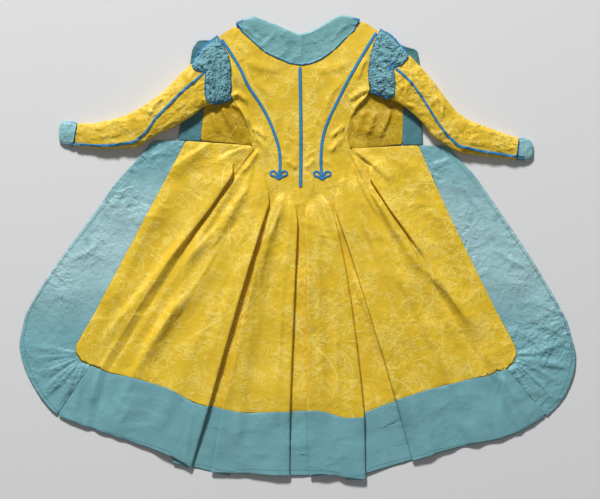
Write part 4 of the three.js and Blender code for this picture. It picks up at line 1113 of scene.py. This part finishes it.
BLUE_THREAD = thread("blue sewing silk", (0.04, 0.16, 0.21, 1), (0.02, 0.09, 0.13, 1))
GOLD_THREAD = thread("gold sewing silk", (0.36, 0.21, 0.012, 1), (0.22, 0.12, 0.006, 1))
# Rows are the line, the pitch, and the length and width of a stitch in mm. The last
# word of a side seam's row says that its stitches lie across the line.
HEM_ROW = (hem_line(), 6.5, 5.0, 1.8)
SIDE_SEAMS = [
    ([(-146, 352), (-134, 324), (-116, 290)], 5.0, 6.5, 1.9, True),
    ([(-138, 354), (-126, 326), (-107, 292)], 5.0, 5.5, 1.7, True),
    ([(156, 352), (150, 324), (138, 290)], 5.0, 6.5, 1.9, True),
    ([(148, 354), (141, 326), (129, 292)], 5.0, 5.5, 1.7, True),
]
SEAM_CLOTHS = ["back_left", "back_right", "side_back_left", "side_back_right",
               "front_left", "front_right"]
stitching("hem_stitching", BLUE_THREAD, [HEM_ROW], BORDERS)
stitching("side_seam_stitching", GOLD_THREAD, SIDE_SEAMS, SEAM_CLOTHS)


# ------------------------------------------------------ floor, light, camera

FLOOR_HALF = 8.0
FLOOR_LEVEL = -0.0006  # just under the cloth
# The view in pixels, the pixel that holds the tables' origin, and the scale.
VIEW = (600, 499)
ORIGIN_PIXEL = (297, 247)
MM_PER_PIXEL = 2.8
CAMERA_HEIGHT = 5.0
SENSOR = 36.0

bm = bmesh.new()
bmesh.ops.create_grid(bm, x_segments=1, y_segments=1, size=FLOOR_HALF)
bmesh.ops.translate(bm, verts=bm.verts, vec=(0, 0, FLOOR_LEVEL))
floor = new_piece("floor", bm)
paper, _, surface = new_material("pale floor")
preset(surface, Base_Color=(0.76, 0.76, 0.762, 1), Roughness=0.9, Specular_IOR_Level=0.1)
floor.data.materials.append(paper)


def soft_light(name, position, size, power):
    """A round soft lamp aimed at the middle of the garment."""
    lamp = bpy.data.lights.new(name, "AREA")
    lamp.shape = "DISK"
    lamp.size = size
    lamp.energy = power
    ob = bpy.data.objects.new(name, lamp)
    ob.location = position
    ob.rotation_euler = (-Vector(position)).to_track_quat("-Z", "Y").to_euler()
    bpy.context.scene.collection.objects.link(ob)


soft_light("window", (-2.4, 9.6, 6.4), 2.0, 1700)
soft_light("fill", (2.5, -2.5, 6.0), 4.0, 18)
world = bpy.data.worlds.new("studio")
world.use_nodes = True
preset(world.node_tree.nodes["Background"], Color=(0.95, 0.97, 1.0, 1), Strength=0.15)
bpy.context.scene.world = world
bpy.context.scene.view_settings.view_transform = "Standard"

lens = bpy.data.cameras.new("camera")
lens.sensor_width = SENSOR
lens.lens = SENSOR * CAMERA_HEIGHT / (VIEW[0] * MM_PER_PIXEL * MM)
camera = bpy.data.objects.new("camera", lens)
aim = place((VIEW[0] / 2 - ORIGIN_PIXEL[0]) * MM_PER_PIXEL,
            (ORIGIN_PIXEL[1] - VIEW[1] / 2) * MM_PER_PIXEL)
camera.location = (aim.x, aim.y, CAMERA_HEIGHT)
bpy.context.scene.collection.objects.link(camera)
bpy.context.scene.camera = camera
